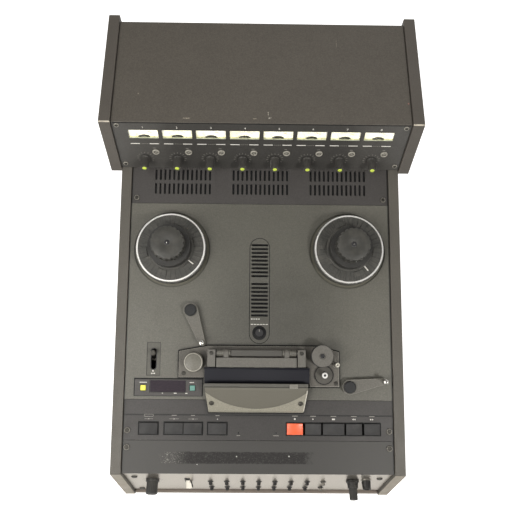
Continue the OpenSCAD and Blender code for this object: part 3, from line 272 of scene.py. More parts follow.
def tube(path, r, n):
    verts, faces = [], []
    for k, p in enumerate(path):
        d = (Vector(path[min(k + 1, len(path) - 1)]) - Vector(path[max(k - 1, 0)])).normalized()
        side = d.cross(Vector((0, 0, 1) if abs(d.z) < 0.95 else (1, 0, 0))).normalized()
        top = side.cross(d)
        verts += [tuple(Vector(p) + side * x + top * y) for x, y in circle(r, n)]
    for k in range(len(path) - 1):
        a, b = k * n, (k + 1) * n
        faces += [(a + i, a + (i + 1) % n, b + (i + 1) % n, b + i) for i in range(n)]
    ends = [tuple(reversed(range(n))), tuple(range((len(path) - 1) * n, len(path) * n))]
    return verts, faces + ends


def numeral(i, size, z=INK):
    """Solid number of a channel."""
    curve = bpy.data.curves.new("numeral", "FONT")
    curve.body, curve.size, curve.align_x, curve.align_y = str(i + 1), size, "CENTER", "CENTER"
    curve.resolution_u = 3
    obj = bpy.data.objects.new("numeral", curve)
    bpy.context.scene.collection.objects.link(obj)
    mesh = obj.to_mesh()
    verts, tris = weld([tuple(v.co) for v in mesh.vertices], [tuple(p.vertices) for p in mesh.polygons])
    obj.to_mesh_clear()
    bpy.data.objects.remove(obj)
    bpy.data.curves.remove(curve)
    n = len(verts)
    up = [upward(verts, t) for t in tris]
    edges = {(t[k - 1], t[k]): True for t in up for k in range(len(t))}
    faces = [tuple(n + k for k in t) for t in up] + [t[::-1] for t in up]
    faces += [(a, b, n + b, n + a) for a, b in edges if (b, a) not in edges]
    return [(x, y, level) for level in z for x, y, _ in verts], faces


def ticks(at, count, first, step, size, r, z=INK, mark=0):
    """Rows of equal bars round a frame."""
    return [(bar(*size, 0, r, z), at @ turn(first + step * k, "Z"), mark) for k in range(count)]


def make(name, rows, materials, body="base", angle=32):
    """Piece from rows of a shape, its frame and, where it isn't the first, the number of its material."""
    verts, faces, marks = [], [], []
    for (points, sides), at, *mark in rows:
        n = len(verts)
        verts += [tuple(at @ Vector(v) * MM) for v in points]
        faces += [[n + i for i in f] for f in sides]
        marks += (mark or [0]) * len(sides)
    mesh = bpy.data.meshes.new(name)
    mesh.from_pydata(verts, [], faces)
    for material in materials if isinstance(materials, list) else [materials]:
        mesh.materials.append(material)
    mesh.polygons.foreach_set("material_index", marks)
    mesh.polygons.foreach_set("use_smooth", [True] * len(mesh.polygons))
    mesh.set_sharp_from_angle(angle=math.radians(angle))
    mesh.validate()
    obj = bpy.data.objects.new(name, mesh)
    bpy.context.scene.collection.objects.link(obj)
    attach(obj, body)


# Materials; lengths in them are in metres


def srgb(code):
    parts = [int(code[i : i + 2], 16) / 255 for i in (1, 3, 5)]
    return tuple(c / 12.92 if c <= 0.04045 else ((c + 0.055) / 1.055) ** 2.4 for c in parts)


def tint(colour, k):
    return tuple(min(1.0, c * k) for c in colour)


class Paint:
    """A material with its node tree and short calls for the nodes that recur."""

    def __init__(self, name, colour, rough, metal=0.0):
        self.mat = bpy.data.materials.new(name)
        self.mat.use_nodes = True
        self.tree = self.mat.node_tree
        self.bsdf = self.tree.nodes["Principled BSDF"]
        self.set("Base Color", (*colour, 1.0))
        self.set("Roughness", rough)
        self.set("Metallic", metal)
        self.coords = self.node("ShaderNodeTexCoord").outputs["Object"]

    def set(self, name, value):
        self.bsdf.inputs[name].default_value = value

    def put(self, name, out):
        self.tree.links.new(out, self.bsdf.inputs[name])

    def node(self, kind, inputs=None, **values):
        """New node; among its inputs a socket is linked, and anything else is set."""
        n = self.tree.nodes.new(kind)
        for key, value in values.items():
            setattr(n, key, value)
        for key, value in (inputs or {}).items():
            if isinstance(value, bpy.types.NodeSocket):
                self.tree.links.new(value, n.inputs[key])
            else:
                n.inputs[key].default_value = value
        return n

    def noise(self, scale, detail=2.0, rough=0.5, stretch=None):
        at = self.coords
        if stretch:
            at = self.node("ShaderNodeMapping", {"Vector": at, "Scale": stretch}).outputs["Vector"]
        inputs = {"Vector": at, "Scale": scale, "Detail": detail, "Roughness": rough}
        return self.node("ShaderNodeTexNoise", inputs).outputs["Fac"]

    def span(self, value, a=0.3, b=0.7, c=0.0, d=1.0, smooth=False):
        """Map a..b to c..d; a and b are by default the range that a noise mostly fills."""
        inputs = {"Value": value, "From Min": a, "From Max": b, "To Min": c, "To Max": d}
        kind = "SMOOTHSTEP" if smooth else "LINEAR"
        return self.node("ShaderNodeMapRange", inputs, interpolation_type=kind, clamp=True).outputs["Result"]

    def math(self, kind, *values):
        return self.node("ShaderNodeMath", dict(enumerate(values)), operation=kind).outputs[0]

    def times(self, first, *others):
        for value in others:
            first = self.math("MULTIPLY", first, value)
        return first

    def away(self, value, middle=0.0):
        """Distance of a value from a middle."""
        return self.math("ABSOLUTE", self.math("SUBTRACT", value, middle))

    def hypot(self, a, b):
        return self.math("SQRT", self.math("ADD", self.times(a, a), self.times(b, b)))

    def dot(self, vector, direction):
        return self.node("ShaderNodeVectorMath", {0: vector, 1: direction}, operation="DOT_PRODUCT").outputs["Value"]

    def blend(self, fac, a, b):
        a, b = ((*v, 1.0) if isinstance(v, tuple) else v for v in (a, b))
        return self.node("ShaderNodeMix", {0: fac, 6: a, 7: b}, data_type="RGBA").outputs[2]

    def stain(self, colour, code, *masks):
        """Another colour where every mask is high; a number among the masks is its strength."""
        return self.blend(self.times(*masks), colour, srgb(code))

    def bump(self, height, strength, distance=0.0002, below=None):
        inputs = {"Height": height, "Strength": strength, "Distance": distance}
        if below:
            inputs["Normal"] = below
        return self.node("ShaderNodeBump", inputs).outputs["Normal"]

    def normal(self):
        return self.node("ShaderNodeNewGeometry").outputs["Normal"]

    def edges(self, radius=0.0009):
        soft = self.node("ShaderNodeBevel", {"Radius": radius}, samples=4).outputs["Normal"]
        return self.span(self.dot(soft, self.normal()), 0.985, 0.8)

    def painted_corner_shade(self, colour, base):
        """Painted shade: darker paint in the corners, found by ambient occlusion."""
        light = self.node("ShaderNodeAmbientOcclusion", {"Distance": 0.004}, samples=8).outputs["AO"]
        return self.blend(self.span(light, 0.93, 0.45, 0.0, 0.8), colour, tint(base, 0.25))

    def along(self, frame_of, k):
        """Distance from a frame's origin along its axis k."""
        axis = frame_of.col[k].to_3d()
        return self.math("SUBTRACT", self.dot(self.coords, tuple(axis)), frame_of.to_translation().dot(axis) * MM)

    def across(self):
        return self.along(BASE, 0)

    def along_deck(self):
        return self.along(DECK, 1)

    def reach(self, x, v):
        """Distance from the axis that stands on the deck at a place given in millimetres."""
        return self.hypot(self.away(self.across(), x * MM), self.away(self.along_deck(), v * MM))

    def done(self, colour, rough_map, low, high, normal):
        self.put("Base Color", colour)
        self.put("Roughness", self.span(rough_map, c=low, d=high))
        self.put("Normal", normal)
        return self.mat


def coat(name, code, rough, grain, amount, relief, blotch, wear=None, scratch=0.0, over=None):
    """Textured paint: grain, soft blotches, mottle, grit, faint scratches, worn edges and painted shade in the
    corners.
    """
    base = srgb(code)
    p = Paint(name, base, rough)
    fine = p.noise(grain, 3.0, 0.6)
    speck = p.span(fine)
    plain, paler = (p.blend(speck, tint(base, 1 - amount + k), tint(base, 1 + amount + k)) for k in (0.0, blotch))
    colour = p.blend(p.span(p.noise(14.0, 3.0, 0.55)), plain, paler)
    colour = p.blend(p.span(p.noise(170.0, 4.0, 0.7), 0.32, 0.68, 0.0, 0.16), colour, tint(base, 0.55))
    grit = p.noise(430.0, 3.0, 0.7)
    for side, k in ((0.7, 0.5), (0.3, 1.6)):
        colour = p.blend(p.span(grit, 0.5, side, 0.0, 0.34), colour, tint(base, k))
    if scratch:
        lines = p.noise(60.0, stretch=(1.0, 18.0, 18.0))
        colour = p.blend(p.span(lines, 0.70, 0.76, 0.0, scratch), colour, tint(base, 1.9))
    if wear:
        chips = p.span(p.noise(160.0, 4.0, 0.65), 0.52, 0.62)
        colour = p.stain(colour, wear, p.edges(), chips, p.span(p.noise(11.0), 0.48, 0.62, 0.12, 0.92))
    if over:
        colour = over(p, colour)
    # Painted shade in the corners, by ambient occlusion
    return p.done(p.painted_corner_shade(colour, base), p.noise(40.0, 3.0), rough - 0.07, rough + 0.07, p.bump(fine, relief))


def vinyl(name, code, over):
    """Grained vinyl on boards."""
    base = srgb(code)
    p = Paint(name, base, 0.5)
    cell = p.node("ShaderNodeTexVoronoi", {"Vector": p.coords, "Scale": 820.0}, feature="F1").outputs["Distance"]
    grain = p.math("ADD", p.times(cell, 0.7), p.noise(1900.0))
    cells = p.span(grain, 0.45, 1.15)
    plain, paler = (p.blend(cells, tint(base, a), tint(base, b)) for a, b in ((1.14, 0.8), (1.26, 0.9)))
    colour = p.blend(p.span(p.noise(9.0, 3.0)), plain, paler)
    chips = p.span(p.noise(130.0, 4.0, 0.7), 0.5, 0.6)
    colour = p.stain(colour, "#b0a38c", p.edges(0.0012), chips, p.span(p.noise(8.0), 0.46, 0.62, 0.15, 0.9))
    return p.done(over(p, colour), p.noise(35.0, 3.0), 0.44, 0.6, p.bump(grain, 0.22, 0.00025))


def plastic(name, code, rough=0.45, grain=2200.0, relief=0.06, dust=0.0, edge=0.25, over=None):
    """Moulded plastic with a fine skin, paler rubbed edges and some dust."""
    base = srgb(code)
    p = Paint(name, base, rough)
    fine = p.noise(grain)
    colour = p.blend(p.span(fine), tint(base, 0.9), tint(base, 1.1))
    if edge:
        rub = p.times(p.edges(0.0006), p.span(p.noise(90.0, 3.0), 0.35, 0.75, 0.1, edge))
        colour = p.blend(rub, colour, tuple(c + 0.16 for c in base))
    if dust:
        colour = p.stain(colour, "#8a857a", p.span(p.noise(70.0, 4.0, 0.65), 0.45, 0.75), dust)
    if over:
        colour = over(p, colour)
    return p.done(colour, p.noise(55.0, 3.0), rough - 0.08, rough + 0.08, p.bump(fine, relief))


def metal(name, code, rough=0.28, brush=None, amount=0.1, shine=1.0):
    """Bare metal; brush stretches the noise across one direction for brushed marks."""
    base = srgb(code)
    p = Paint(name, base, rough, shine)
    fine = p.noise(900.0, 3.0, 0.6, brush)
    colour = p.blend(p.span(fine), tint(base, 1 - amount), tint(base, 1 + amount / 2))
    return p.done(colour, fine, rough - 0.06, rough + 0.1, p.bump(fine, 0.05))


def ink(name, code, wear):
    """Printed mark, rubbed thin in places."""
    base = srgb(code)
    p = Paint(name, base, 0.6)
    p.put("Base Color", p.blend(p.span(p.noise(420.0, 3.0, 0.6), 0.35, 0.7, 0.0, wear), base, tint(base, 0.45)))
    return p.mat


def two_tone(name, code, rough, pattern, tones, bounds=(0.3, 0.7), glow=0.0, gloss=None, rough_map=None):
    """Two tones mixed by a noise; glow lights them, and rough_map is a noise with its two roughnesses."""
    p = Paint(name, srgb(code), rough)
    colour = p.blend(p.span(p.noise(*pattern), *bounds), *(srgb(tone) for tone in tones))
    p.put("Base Color", colour)
    if glow:
        p.put("Emission Color", colour)
        p.set("Emission Strength", glow)
    if gloss:
        p.set("Specular IOR Level", gloss)
    if rough_map:
        noise, low, high = rough_map
        p.put("Roughness", p.span(p.noise(*noise), c=low, d=high))
    return p.mat


# Tints: what the photo shows on one surface, laid over its paint
DARKER = "#000000"


def gap_shade_tint(p, colour):
    """Painted shade in the gaps where the panels meet the side boards."""
    for near, far, strength in ((0.2390, 0.2399, 0.85), (-0.2399, -0.2406, 0.75)):
        colour = p.stain(colour, "#161515", p.span(p.across(), near, far), strength)
    return colour


def middle_shade_tint(p, colour):
    """Painted shade darkens the middle of the panels; painted shade in the gaps at the sides."""
    middle = p.span(p.away(p.across(), 0.02), 0.19, 0.06, smooth=True)
    return gap_shade_tint(p, p.stain(colour, DARKER, middle, 0.17))


def meter_tint(p, colour):
    """The ends of the meter panel are darker than its middle."""
    return p.stain(colour, DARKER, p.span(p.away(p.across()), 0.19, 0.15, smooth=True), 0.3)


def well_tint(p, colour):
    """Olive tone and painted shade on the floors of the two reel wells with a painted shadow line at their edges, a
    painted shadow behind the head block, and the darker field round the cue lever with a painted shadow line at its
    edge.
    """
    # Painted shadow of the head block on the deck behind it, over the painted shade of the middle and the gaps
    head_block_shadow = p.span(p.reach(38, 266), 0.16, 0.03, smooth=True)
    colour = p.stain(middle_shade_tint(p, colour), DARKER, head_block_shadow, 0.24)
    for x in (-REEL_X, REEL_X):
        r = p.reach(x, REEL_V)
        # Painted shade: the floor of each well darker, in an olive tone; then a painted shadow line at its edge
        colour = p.stain(colour, "#5d5a4a", p.span(r, 0.0703, 0.0697), 0.5)
        colour = p.stain(colour, "#2c2a24", p.span(r, 0.0686, 0.0697), p.span(r, 0.0711, 0.07), 0.6)
    side, back = p.away(p.across(), CUE_X * MM), p.away(p.along_deck(), CUE_V * MM)
    field = p.times(p.span(side, 0.0126, 0.0122), p.span(back, 0.0301, 0.0297))
    inside = p.times(p.span(side, 0.0117, 0.0113), p.span(back, 0.0292, 0.0288))
    colour = p.stain(colour, "#45433c", field, 0.45)
    # Painted shadow line round the edge of the cue field
    return p.stain(colour, "#24221e", p.math("SUBTRACT", field, inside), 0.85)


def hub_tint(p, colour):
    """Painted shadow on the drum, and fine radial lines on the flange of the two hubs."""
    for x in (-REEL_X, REEL_X):
        r = p.reach(x, REEL_V)
        a = p.math("SUBTRACT", p.across(), x * MM)
        b = p.math("SUBTRACT", p.along_deck(), REEL_V * MM)
        spokes = p.span(p.math("SINE", p.times(p.math("ARCTAN2", b, a), 36.0)), 0.86, 0.97)
        colour = p.stain(colour, "#1c1b1a", spokes, p.span(r, 0.0415, 0.042), p.span(r, 0.0588, 0.0582), 0.4)
        # Painted shadow over the drum round the lock
        colour = p.stain(colour, "#242322", p.span(r, 0.0388, 0.0384), 0.75)
    return colour


def nose_tint(p, colour):
    """Painted shadow in front of the head cover's nose, and the seam of the trim, over the painted shade of the
    middle and the gaps.
    """
    along = p.along_deck()
    beside = p.span(p.away(p.across(), HEAD_X * MM), 0.094, 0.084)
    # Painted shadow in front of the nose
    colour = p.stain(middle_shade_tint(p, colour), "#1d1c1b", beside, p.span(along, 0.097, 0.109), 0.6)
    return p.stain(colour, "#1a1919", p.span(p.away(along, 0.1045), 0.0016, 0.0010), 0.85)


def arc_tint(p, colour):
    """Painted shade on the sunk field of the head cover, its darker lip, and a painted shadow line between them."""
    along = p.along_deck()
    inside = p.span(p.reach(HEAD_X, ARC_V), 0.1523, 0.1517)
    # Painted shade on the sunk field
    colour = p.stain(colour, "#625f56", inside, p.span(along, 0.1563, 0.1557), 0.9)
    colour = p.stain(colour, "#4f4d48", p.span(along, 0.1553, 0.1557), 0.92)
    # Painted shadow line between the field and the lip
    return p.stain(colour, "#2f2e2a", p.span(along, 0.1541, 0.1546), p.span(along, 0.1562, 0.1557), 0.85)


def bar_tint(p, colour):
    """Darker hinge bar between the ears of the gate."""
    along = p.along_deck()
    beside = p.span(p.away(p.across(), HEAD_X * MM), 0.0466, 0.046)
    return p.stain(colour, "#43413d", p.span(along, 0.2089, 0.2093), p.span(along, 0.2202, 0.2198), beside, 0.75)


def sill_tint(p, colour):
    """Bare tan sill along the bottom of the front."""
    scuff = p.span(p.noise(120.0, 4.0, 0.6, (0.3, 4.0, 4.0)), 0.35, 0.7)
    sill = p.span(p.along(FRONT, 2), -0.0089, -0.0087, 0.0, 0.95)
    return p.blend(sill, colour, p.blend(scuff, srgb("#867b70"), srgb("#71675e")))


def power_tint(p, colour):
    """Ivory shank of the power lever among the black switches."""
    beside = p.span(p.away(p.across(), POWER_X * MM), 0.0046, 0.0042)
    return p.stain(colour, "#e6e1d5", beside, p.span(p.along(FRONT, 2), -0.0068, -0.006))


def front_light_tint(p, colour):
    """Painted light: the faces of the console's boards that face the front are pale tan, mottled."""
    ahead = p.span(p.dot(p.normal(), tuple(FRONT.col[2].to_3d())), 0.9, 0.98, 0.0, 0.9)
    return p.blend(ahead, colour, p.blend(p.span(p.noise(60.0, 4.0, 0.6)), srgb("#8a8274"), srgb("#9c9283")))


def corner_tint(p, colour):
    """Pale line where the top front corner of the bridge's boards is rubbed through."""
    top = AMP_TOP_Z + BOARD_LIP
    y = AMP_Y + (top - AMP_Z) * math.tan(math.radians(METER_LEAN)) - BOARD_LIP / cos(METER_LEAN)
    near = p.hypot(p.away(p.along(BASE, 1), y * MM), p.away(p.along(BASE, 2), top * MM))
    return p.stain(colour, "#cbc2b1", p.span(near, 0.0022, 0.0013), p.span(p.noise(90.0, 3.0), 0.35, 0.55, 0.4, 1.0))


# Scratches and nicks on the bridge's cover: place in metres, half width, half length, strength, colour
SCUFFS = (
    (0.1350, 0.3627, 0.0004, 0.0085, 0.3, "#b4aa98"), (0.0108, 0.2112, 0.0006, 0.0035, 0.7, "#c9c1b2"),
    (0.0139, 0.2030, 0.0022, 0.0008, 0.8, "#d8d2c6"), (-0.1300, 0.2006, 0.0062, 0.0007, 0.7, "#b4aa98"),
    (-0.0120, 0.2014, 0.0030, 0.0006, 0.5, "#b4aa98"), (-0.2168, 0.2497, 0.0008, 0.0008, 0.6, "#b4aa98"),
    (0.2570, 0.2355, 0.0014, 0.0012, 0.7, "#a8746a"),
)


def scuff_tint(p, colour):
    back = p.dot(p.coords, (0.0, 1.0, 0.0))
    chips = p.span(p.noise(420.0, 3.0, 0.6), 0.4, 0.55)
    for x, y, wide, long, strength, code in SCUFFS:
        beside = p.span(p.away(p.across(), x), wide + 0.0003, wide)
        colour = p.stain(colour, code, beside, p.span(p.away(back, y), long + 0.0008, long), chips, strength)
    return colour


def edge_wear_and_highlight(p, colour):
    """Pale edges: rubbed paint and a painted highlight."""
    return p.stain(colour, "#b9b5a9", p.edges(0.0012), 0.7)


def residue_paint(name, code):
    """Paint of the lower panel, with the rubbed residue of a strip that was stuck on it."""
    base = srgb(code)
    p = Paint(name, base, 0.5)
    grain, side = p.noise(1500.0, 3.0, 0.6), p.across()
    ragged = p.times(p.math("SUBTRACT", p.noise(90.0, 4.0, 0.7), 0.5), 0.012)
    in_v = p.span(p.math("ADD", p.away(p.along_deck(), 0.0305), p.times(ragged, 0.3)), 0.0108, 0.0092)
    in_x = p.span(p.math("ADD", p.away(side, -0.0415), p.times(ragged, 5.0)), 0.136, 0.122)
    strip = p.times(in_v, in_x)
    torn = p.span(p.noise(210.0, 5.0, 0.75), 0.3, 0.46)
    dark = p.times(strip, torn, p.span(side, -0.153, -0.125, 0.15, 1.0))
    fuzz = p.times(strip, p.span(p.noise(520.0, 4.0, 0.7), 0.54, 0.68))
    pale_end = p.math("ADD", p.times(strip, p.span(side, -0.125, -0.165), 0.75), 0.12)
    colour = p.blend(p.span(grain), tint(base, 0.88), tint(base, 1.12))
    colour = p.stain(p.stain(colour, "#242222", dark, 0.8), "#b5b1a8", fuzz, pale_end)
    for x, v, r in ((-38.8, 32.9, 1.1), (54.4, 33.5, 1.3), (-108.6, 18.9, 0.8)):
        colour = p.stain(colour, "#d8d5cd", p.span(p.reach(x, v), 1.15 * r * MM, 0.7 * r * MM))
    # Painted shade in the corners, in the middle of the panel and in the gaps at its sides
    p.put("Base Color", p.painted_corner_shade(middle_shade_tint(p, colour), base))
    p.put("Roughness", p.span(dark, 0.0, 1.0, 0.5, 0.85))
    p.put("Normal", p.bump(torn, 0.12, 0.0002, p.bump(grain, 0.1)))
    return p.mat


# Skins of a coat: roughness, grain, its contrast, its relief and the blotches
PANEL_SKIN = (0.48, 1500.0, 0.17, 0.14, 0.07)
GREY_SKIN = (0.4, 1700.0, 0.07, 0.05, 0.04)
PALE_SKIN = (0.4, 1500.0, 0.05, 0.04, 0.04)
BOARD = vinyl("board_vinyl", "#58544d", front_light_tint)
AMP_BOARD = vinyl("bridge_vinyl", "#544f49", corner_tint)
DECK_PAINT = coat("deck_paint", "#615f57", 0.45, 1500.0, 0.17, 0.14, 0.07, "#9c988c", 0.05, well_tint)
PANEL_PAINT = coat("panel_paint", "#44413f", *PANEL_SKIN, "#8d887e", 0.06, gap_shade_tint)
BUTTON_PAINT = coat("button_panel_paint", "#3b3836", *PANEL_SKIN, "#8d887e", 0.06, nose_tint)
METER_PAINT = coat("meter_panel_paint", "#4c4a47", 0.48, 1500.0, 0.17, 0.14, 0.06, "#85817a", 0.05, meter_tint)
LOWER_PAINT = residue_paint("lower_panel_paint", "#403e3b")
COVER_PAINT = coat("amp_cover_paint", "#555049", 0.5, 1100.0, 0.2, 0.2, 0.08, "#b4aa98", 0.09, scuff_tint)
TRAY_PAINT = coat("chassis_paint", "#2f2d2b", 0.6, 1200.0, 0.14, 0.12, 0.08, "#6f6a60", over=sill_tint)
CAST = coat("cover_grey", "#8f8b7e", 0.42, 1300.0, 0.1, 0.08, 0.05, "#b3afa3", over=arc_tint)
GATE_PAINT = coat("gate_grey", "#64615b", 0.42, 1700.0, 0.08, 0.06, 0.05, "#a8a499", over=bar_tint)
BASE_CAST = coat("head_base_grey", "#5f5b54", 0.48, 1400.0, 0.1, 0.08, 0.05, "#9a968b", over=edge_wear_and_highlight)
ROLLER = coat("roller_grey", "#6e6b62", *GREY_SKIN, "#c4c0b4")
ARM_PAINT = coat("arm_grey", "#64615a", *GREY_SKIN, "#c4c0b4", over=edge_wear_and_highlight)
DULL_STEEL = coat("dull_steel", "#7d7a72", 0.38, 1500.0, 0.06, 0.04, 0.04, "#b5b2a8")
SEAT = coat("seat_grey", "#4b4842", 0.5, 1500.0, 0.08, 0.06, 0.04, "#8a867c")
EDGE_PALE = coat("edge_pale", "#c9c5b8", *PALE_SKIN)
PALE_RING = coat("pale_ring", "#a5a196", *PALE_SKIN, "#c4c0b4")
BLACK = plastic("black_plastic", "#373635", dust=0.1)
HUB = plastic("hub_plastic", "#43423e", 0.5, 1500.0, 0.1, 0.2, over=hub_tint)
KNOB = plastic("knob_plastic", "#373632", 0.5, 1500.0, 0.08, 0.12)
KEY = plastic("key_plastic", "#2f2e2e", 0.65, dust=0.05, edge=0.12)
DARK = plastic("dark_plastic", "#232224", 0.5)
CAP_BLACK = plastic("cap_black", "#19191a", 0.6)
VOID = plastic("void_black", "#0d0d0e", 0.8, edge=0.0)
SWITCH = plastic("switch_black", "#2b2a2a", dust=0.1, over=power_tint)
SWITCH_CAP = plastic("switch_cap", "#1e1d1d", dust=0.1)
PALE_LEVER = plastic("pale_lever", "#77736b", dust=0.1)
IVORY = plastic("lever_ivory", "#e9e4d8", 0.4, edge=0.0)
GRIP = plastic("grip_grey", "#57554f", 0.4)
LEVEL = plastic("level_grey", "#454340", 0.5, 1500.0, 0.06, 0.1, 0.15)
RUBBER = plastic("black_rubber", "#2b2a2a", 0.75, 1200.0, 0.15, 0.15, 0.1)
RED = plastic("record_red", "#f6653a", 0.35, 1800.0, 0.03, 0.06, 0.3)
YELLOW = plastic("key_yellow", "#f9f05b", 0.35, 1800.0, 0.03, 0.05, 0.0)
GREEN = plastic("key_green", "#659489", 0.35, 1800.0, 0.03, 0.05, 0.0)
TIP = plastic("knob_tip_green", "#d3e65c", 0.4, 1800.0, 0.03, 0.05, 0.0)
HOODS = [plastic("hood_olive", "#3d3d33", 0.4), plastic("hood_highlight", "#8f8f76", 0.35)]
SOCKETS = [plastic("socket_red", "#a8352c", 0.4), plastic("socket_white", "#d8d4ca", 0.4)]
RIM = metal("rim_silver", "#f4f2ee", 0.3, shine=0.4)
CHROME = metal("chrome", "#e6e4de", 0.12)
STEEL = metal("steel", "#b9b6af", 0.34)
DARK_STEEL = metal("dark_steel", "#6d6a64", 0.4)
SCREW = metal("screw_dark", "#55534f", 0.45)
SILVER = metal("front_silver", "#aea79d", 0.3, (1.0, 60.0, 60.0), 0.06)
WHITE_INK = ink("white_ink", "#dcd9d1", 0.25)
BRIGHT_INK = ink("bright_ink", "#f1eee6", 0.1)
DIM_INK = ink("dim_ink", "#97948c", 0.4)
DARK_INK = ink("dark_ink", "#4c4a47", 0.3)
SCALE_INKS = [ink("dial_ink", "#77756a", 0.1), ink("dial_red", "#c8402c", 0.1)]
CARD = two_tone("card_green", "#3d5a40", 0.5, (300.0, 1.0, 0.5, (1.0, 8.0, 1.0)), ("#35513a", "#5f7f55"), (0.5, 0.55))
SHADE_LINES = (500.0, 2.0, 0.5, (1.0, 20.0, 20.0))
SHADE = two_tone("shield_black", "#1b1b1e", 0.6, SHADE_LINES, ("#14141b", "#1f1f28"),
    gloss=0.3, rough_map=(SHADE_LINES, 0.52, 0.68))
DIAL = two_tone("meter_dial", "#f3efd4", 0.55, (60.0,), ("#f6f1d2", "#fffdf0"), glow=0.75)
LEDGES = [
    two_tone("ledge_pale", "#c6c9b2", 0.5, (160.0, 3.0), ("#b2b69c", "#d5d8c4")),
    two_tone("ledge_lime", "#b5b77c", 0.5, (140.0, 4.0, 0.7), ("#e4e2a6", "#8e9058"), (0.4, 0.62), glow=0.3),
]
DISPLAY = two_tone("display_violet", "#3d303d", 0.18, (240.0, 2.0, 0.5, (1.0, 3.0, 3.0)), ("#241c25", "#31262f"),
    gloss=0.25, rough_map=((45.0, 3.0), 0.42, 0.54))
clear = Paint("meter_glass", (1.0, 1.0, 1.0), 0.04)
clear.set("Transmission Weight", 1.0)
clear.set("IOR", 1.2)
clear.put("Roughness", clear.span(clear.noise(30.0, 3.0), 0.3, 0.8, 0.02, 0.12))

# CAD nodes: finish, width of the softened edges in millimetres, names
LEVEL_KNOBS = [f"level_knob_{i + 1}" for i in CHANNELS]
FINISHES = (
    (BOARD, 1.2, "deck_side_boards"),
    (AMP_BOARD, 1.2, "amp_side_boards"),
    (DECK_PAINT, 0.0, "deck_plate"),
    (PANEL_PAINT, 0.0, "vent_panel"),
    (PANEL_PAINT, 0.4, "counter_unit"),
    (BUTTON_PAINT, 0.0, "button_panel"),
    (METER_PAINT, 0.0, "meter_panel"),
    (LOWER_PAINT, 0.0, "lower_panel"),
    (COVER_PAINT, 0.8, "amp_cover"),
    (TRAY_PAINT, 0.0, "base_tray amp_base_pan"),
    (SILVER, 0.0, "front_panel"),
    (CAST, 0.5, "head_cover"),
    (GATE_PAINT, 0.4, "head_gate head_bridge"),
    (BASE_CAST, 0.7, "head_base pinch_arm"),
    (ROLLER, 0.0, "guide_roller"),
    (ARM_PAINT, 0.5, "left_tension_arm right_tension_arm"),
    (STEEL, 0.0, "drive_motors power_supply"),
    (DARK_STEEL, 0.0, "cue_lever tape_heads"),
    (CHROME, 0.0, "capstan"),
    (RUBBER, 0.0, "pinch_roller rubber_feet"),
    (HUB, 0.0, "left_hub right_hub left_reel_table right_reel_table"),
    (KNOB, 0.0, "left_hub_lock right_hub_lock"),
    (KEY, 0.5, "speed_button reel_size_button edit_button locate_button"),
    (KEY, 0.5, "play_button stop_button rewind_button forward_button"),
    (RED, 0.5, "record_button"),
    (YELLOW, 0.5, "counter_reset_button"),
    (GREEN, 0.5, "counter_mode_button"),
    (VOID, 0.0, "speaker_knob"),
    (BLACK, 0.0, "left_front_knob right_front_knob phone_jack"),
    (SWITCH, 0.0, "front_switches"),
    (LEVEL, 0.0, " ".join(LEVEL_KNOBS)),
    (DARK, 0.0, "rear_sockets meter_units"),
    (CARD, 0.0, "channel_cards"),
)
for material, edge, names in FINISHES:
    for obj in (NODES[name] for name in names.split()):
        for place in obj.material_slots:
            place.material = material
        if not obj.material_slots:
            obj.data.materials.append(material)
        if edge:
            obj.modifiers.new("join", "WELD").merge_threshold = 0.00001
            soft = obj.modifiers.new("edge", "BEVEL")
            soft.width, soft.segments, soft.limit_method = edge * MM, 2, "ANGLE"
            soft.angle_limit, soft.harden_normals = math.radians(40), True


# Screws


def screw_rows(at, r, h, lift, cup=0.0, cup_h=0.0):
    head = [(screw_head(r, h), at @ shift(0, 0, lift))]
    return head + [(cup_washer(cup, cup_h), at, 1)] if cup else head


def screws(name, at, places, r, cup=0.0, rim=SCREW):
    rows = []
    for k, place in enumerate(places):
        here = at @ shift(*place) @ turn(37 * k % 90, "Z")
        rows += screw_rows(here, r, 0.55 * r, 0.1 * r if cup else -0.05, cup, 0.34 * cup)
    make(name, rows, [SCREW, rim])


def both(x, y, z=0.0):
    return [(s * x, y, z) for s in SIDES]


screws("vent_panel_screws", DECK, both(232, 502), PANEL_SCREW, 5.2, BASE_CAST)
screws("button_panel_screws", DECK, both(234, 77.5), PANEL_SCREW, PANEL_CUP, BASE_CAST)
screws("lower_panel_screws", DECK, both(234, 48), PANEL_SCREW, PANEL_CUP, BASE_CAST)
screws("head_base_screws", DECK, [(-135.5, 178, BASE_TOP), (138, 162, BASE_TOP)], 3.4)
screws("bridge_screws", DECK @ shift(HEAD_X, 0, 0), both(SLOT_W / 2 - 12, HINGE_V, GATE_W + GATE_T), 3.3)
screws("front_panel_screws", FACE, [(-225, 133, 0), (224, 126, 0), (-225, 29, 0), (219, 33, 0)], 3.8, PANEL_CUP)
METER_PLACES = [(s * 252, y, 0) for s in SIDES for y in (17.5, 119.5)]
screws("meter_panel_screws", METER, METER_PLACES, PANEL_SCREW, 4.6, PALE_RING)
REAR_ROWS = ((PAN_Z + 14, 0), (AMP_TOP_Z - 14, 2))
REAR_PLACES = [(s * x, *row) for s in SIDES for x in (80, 230) for row in REAR_ROWS]
screws("amp_rear_screws", AMP_BACK, REAR_PLACES, PANEL_SCREW)
CONSOLE_PLACES = [(s * x, z, 0) for s in SIDES for x in (60, 228) for z in (24, 250)]
screws("console_rear_screws", CONSOLE_BACK, CONSOLE_PLACES, PANEL_SCREW)

leg_bolts = []
for x in (-161, -139, 139, 161):
    for drop in (122, 60):
        at = CONSOLE_BACK @ shift(x, PAN_Z - drop, 4)
        leg_bolts += [(ring(0, 6.2, 0, 1.0, 24), at), (prism(circle(4.6, 6), 0.9, 5.1, 0.828), at)]
make("leg_bolts", leg_bolts, STEEL)

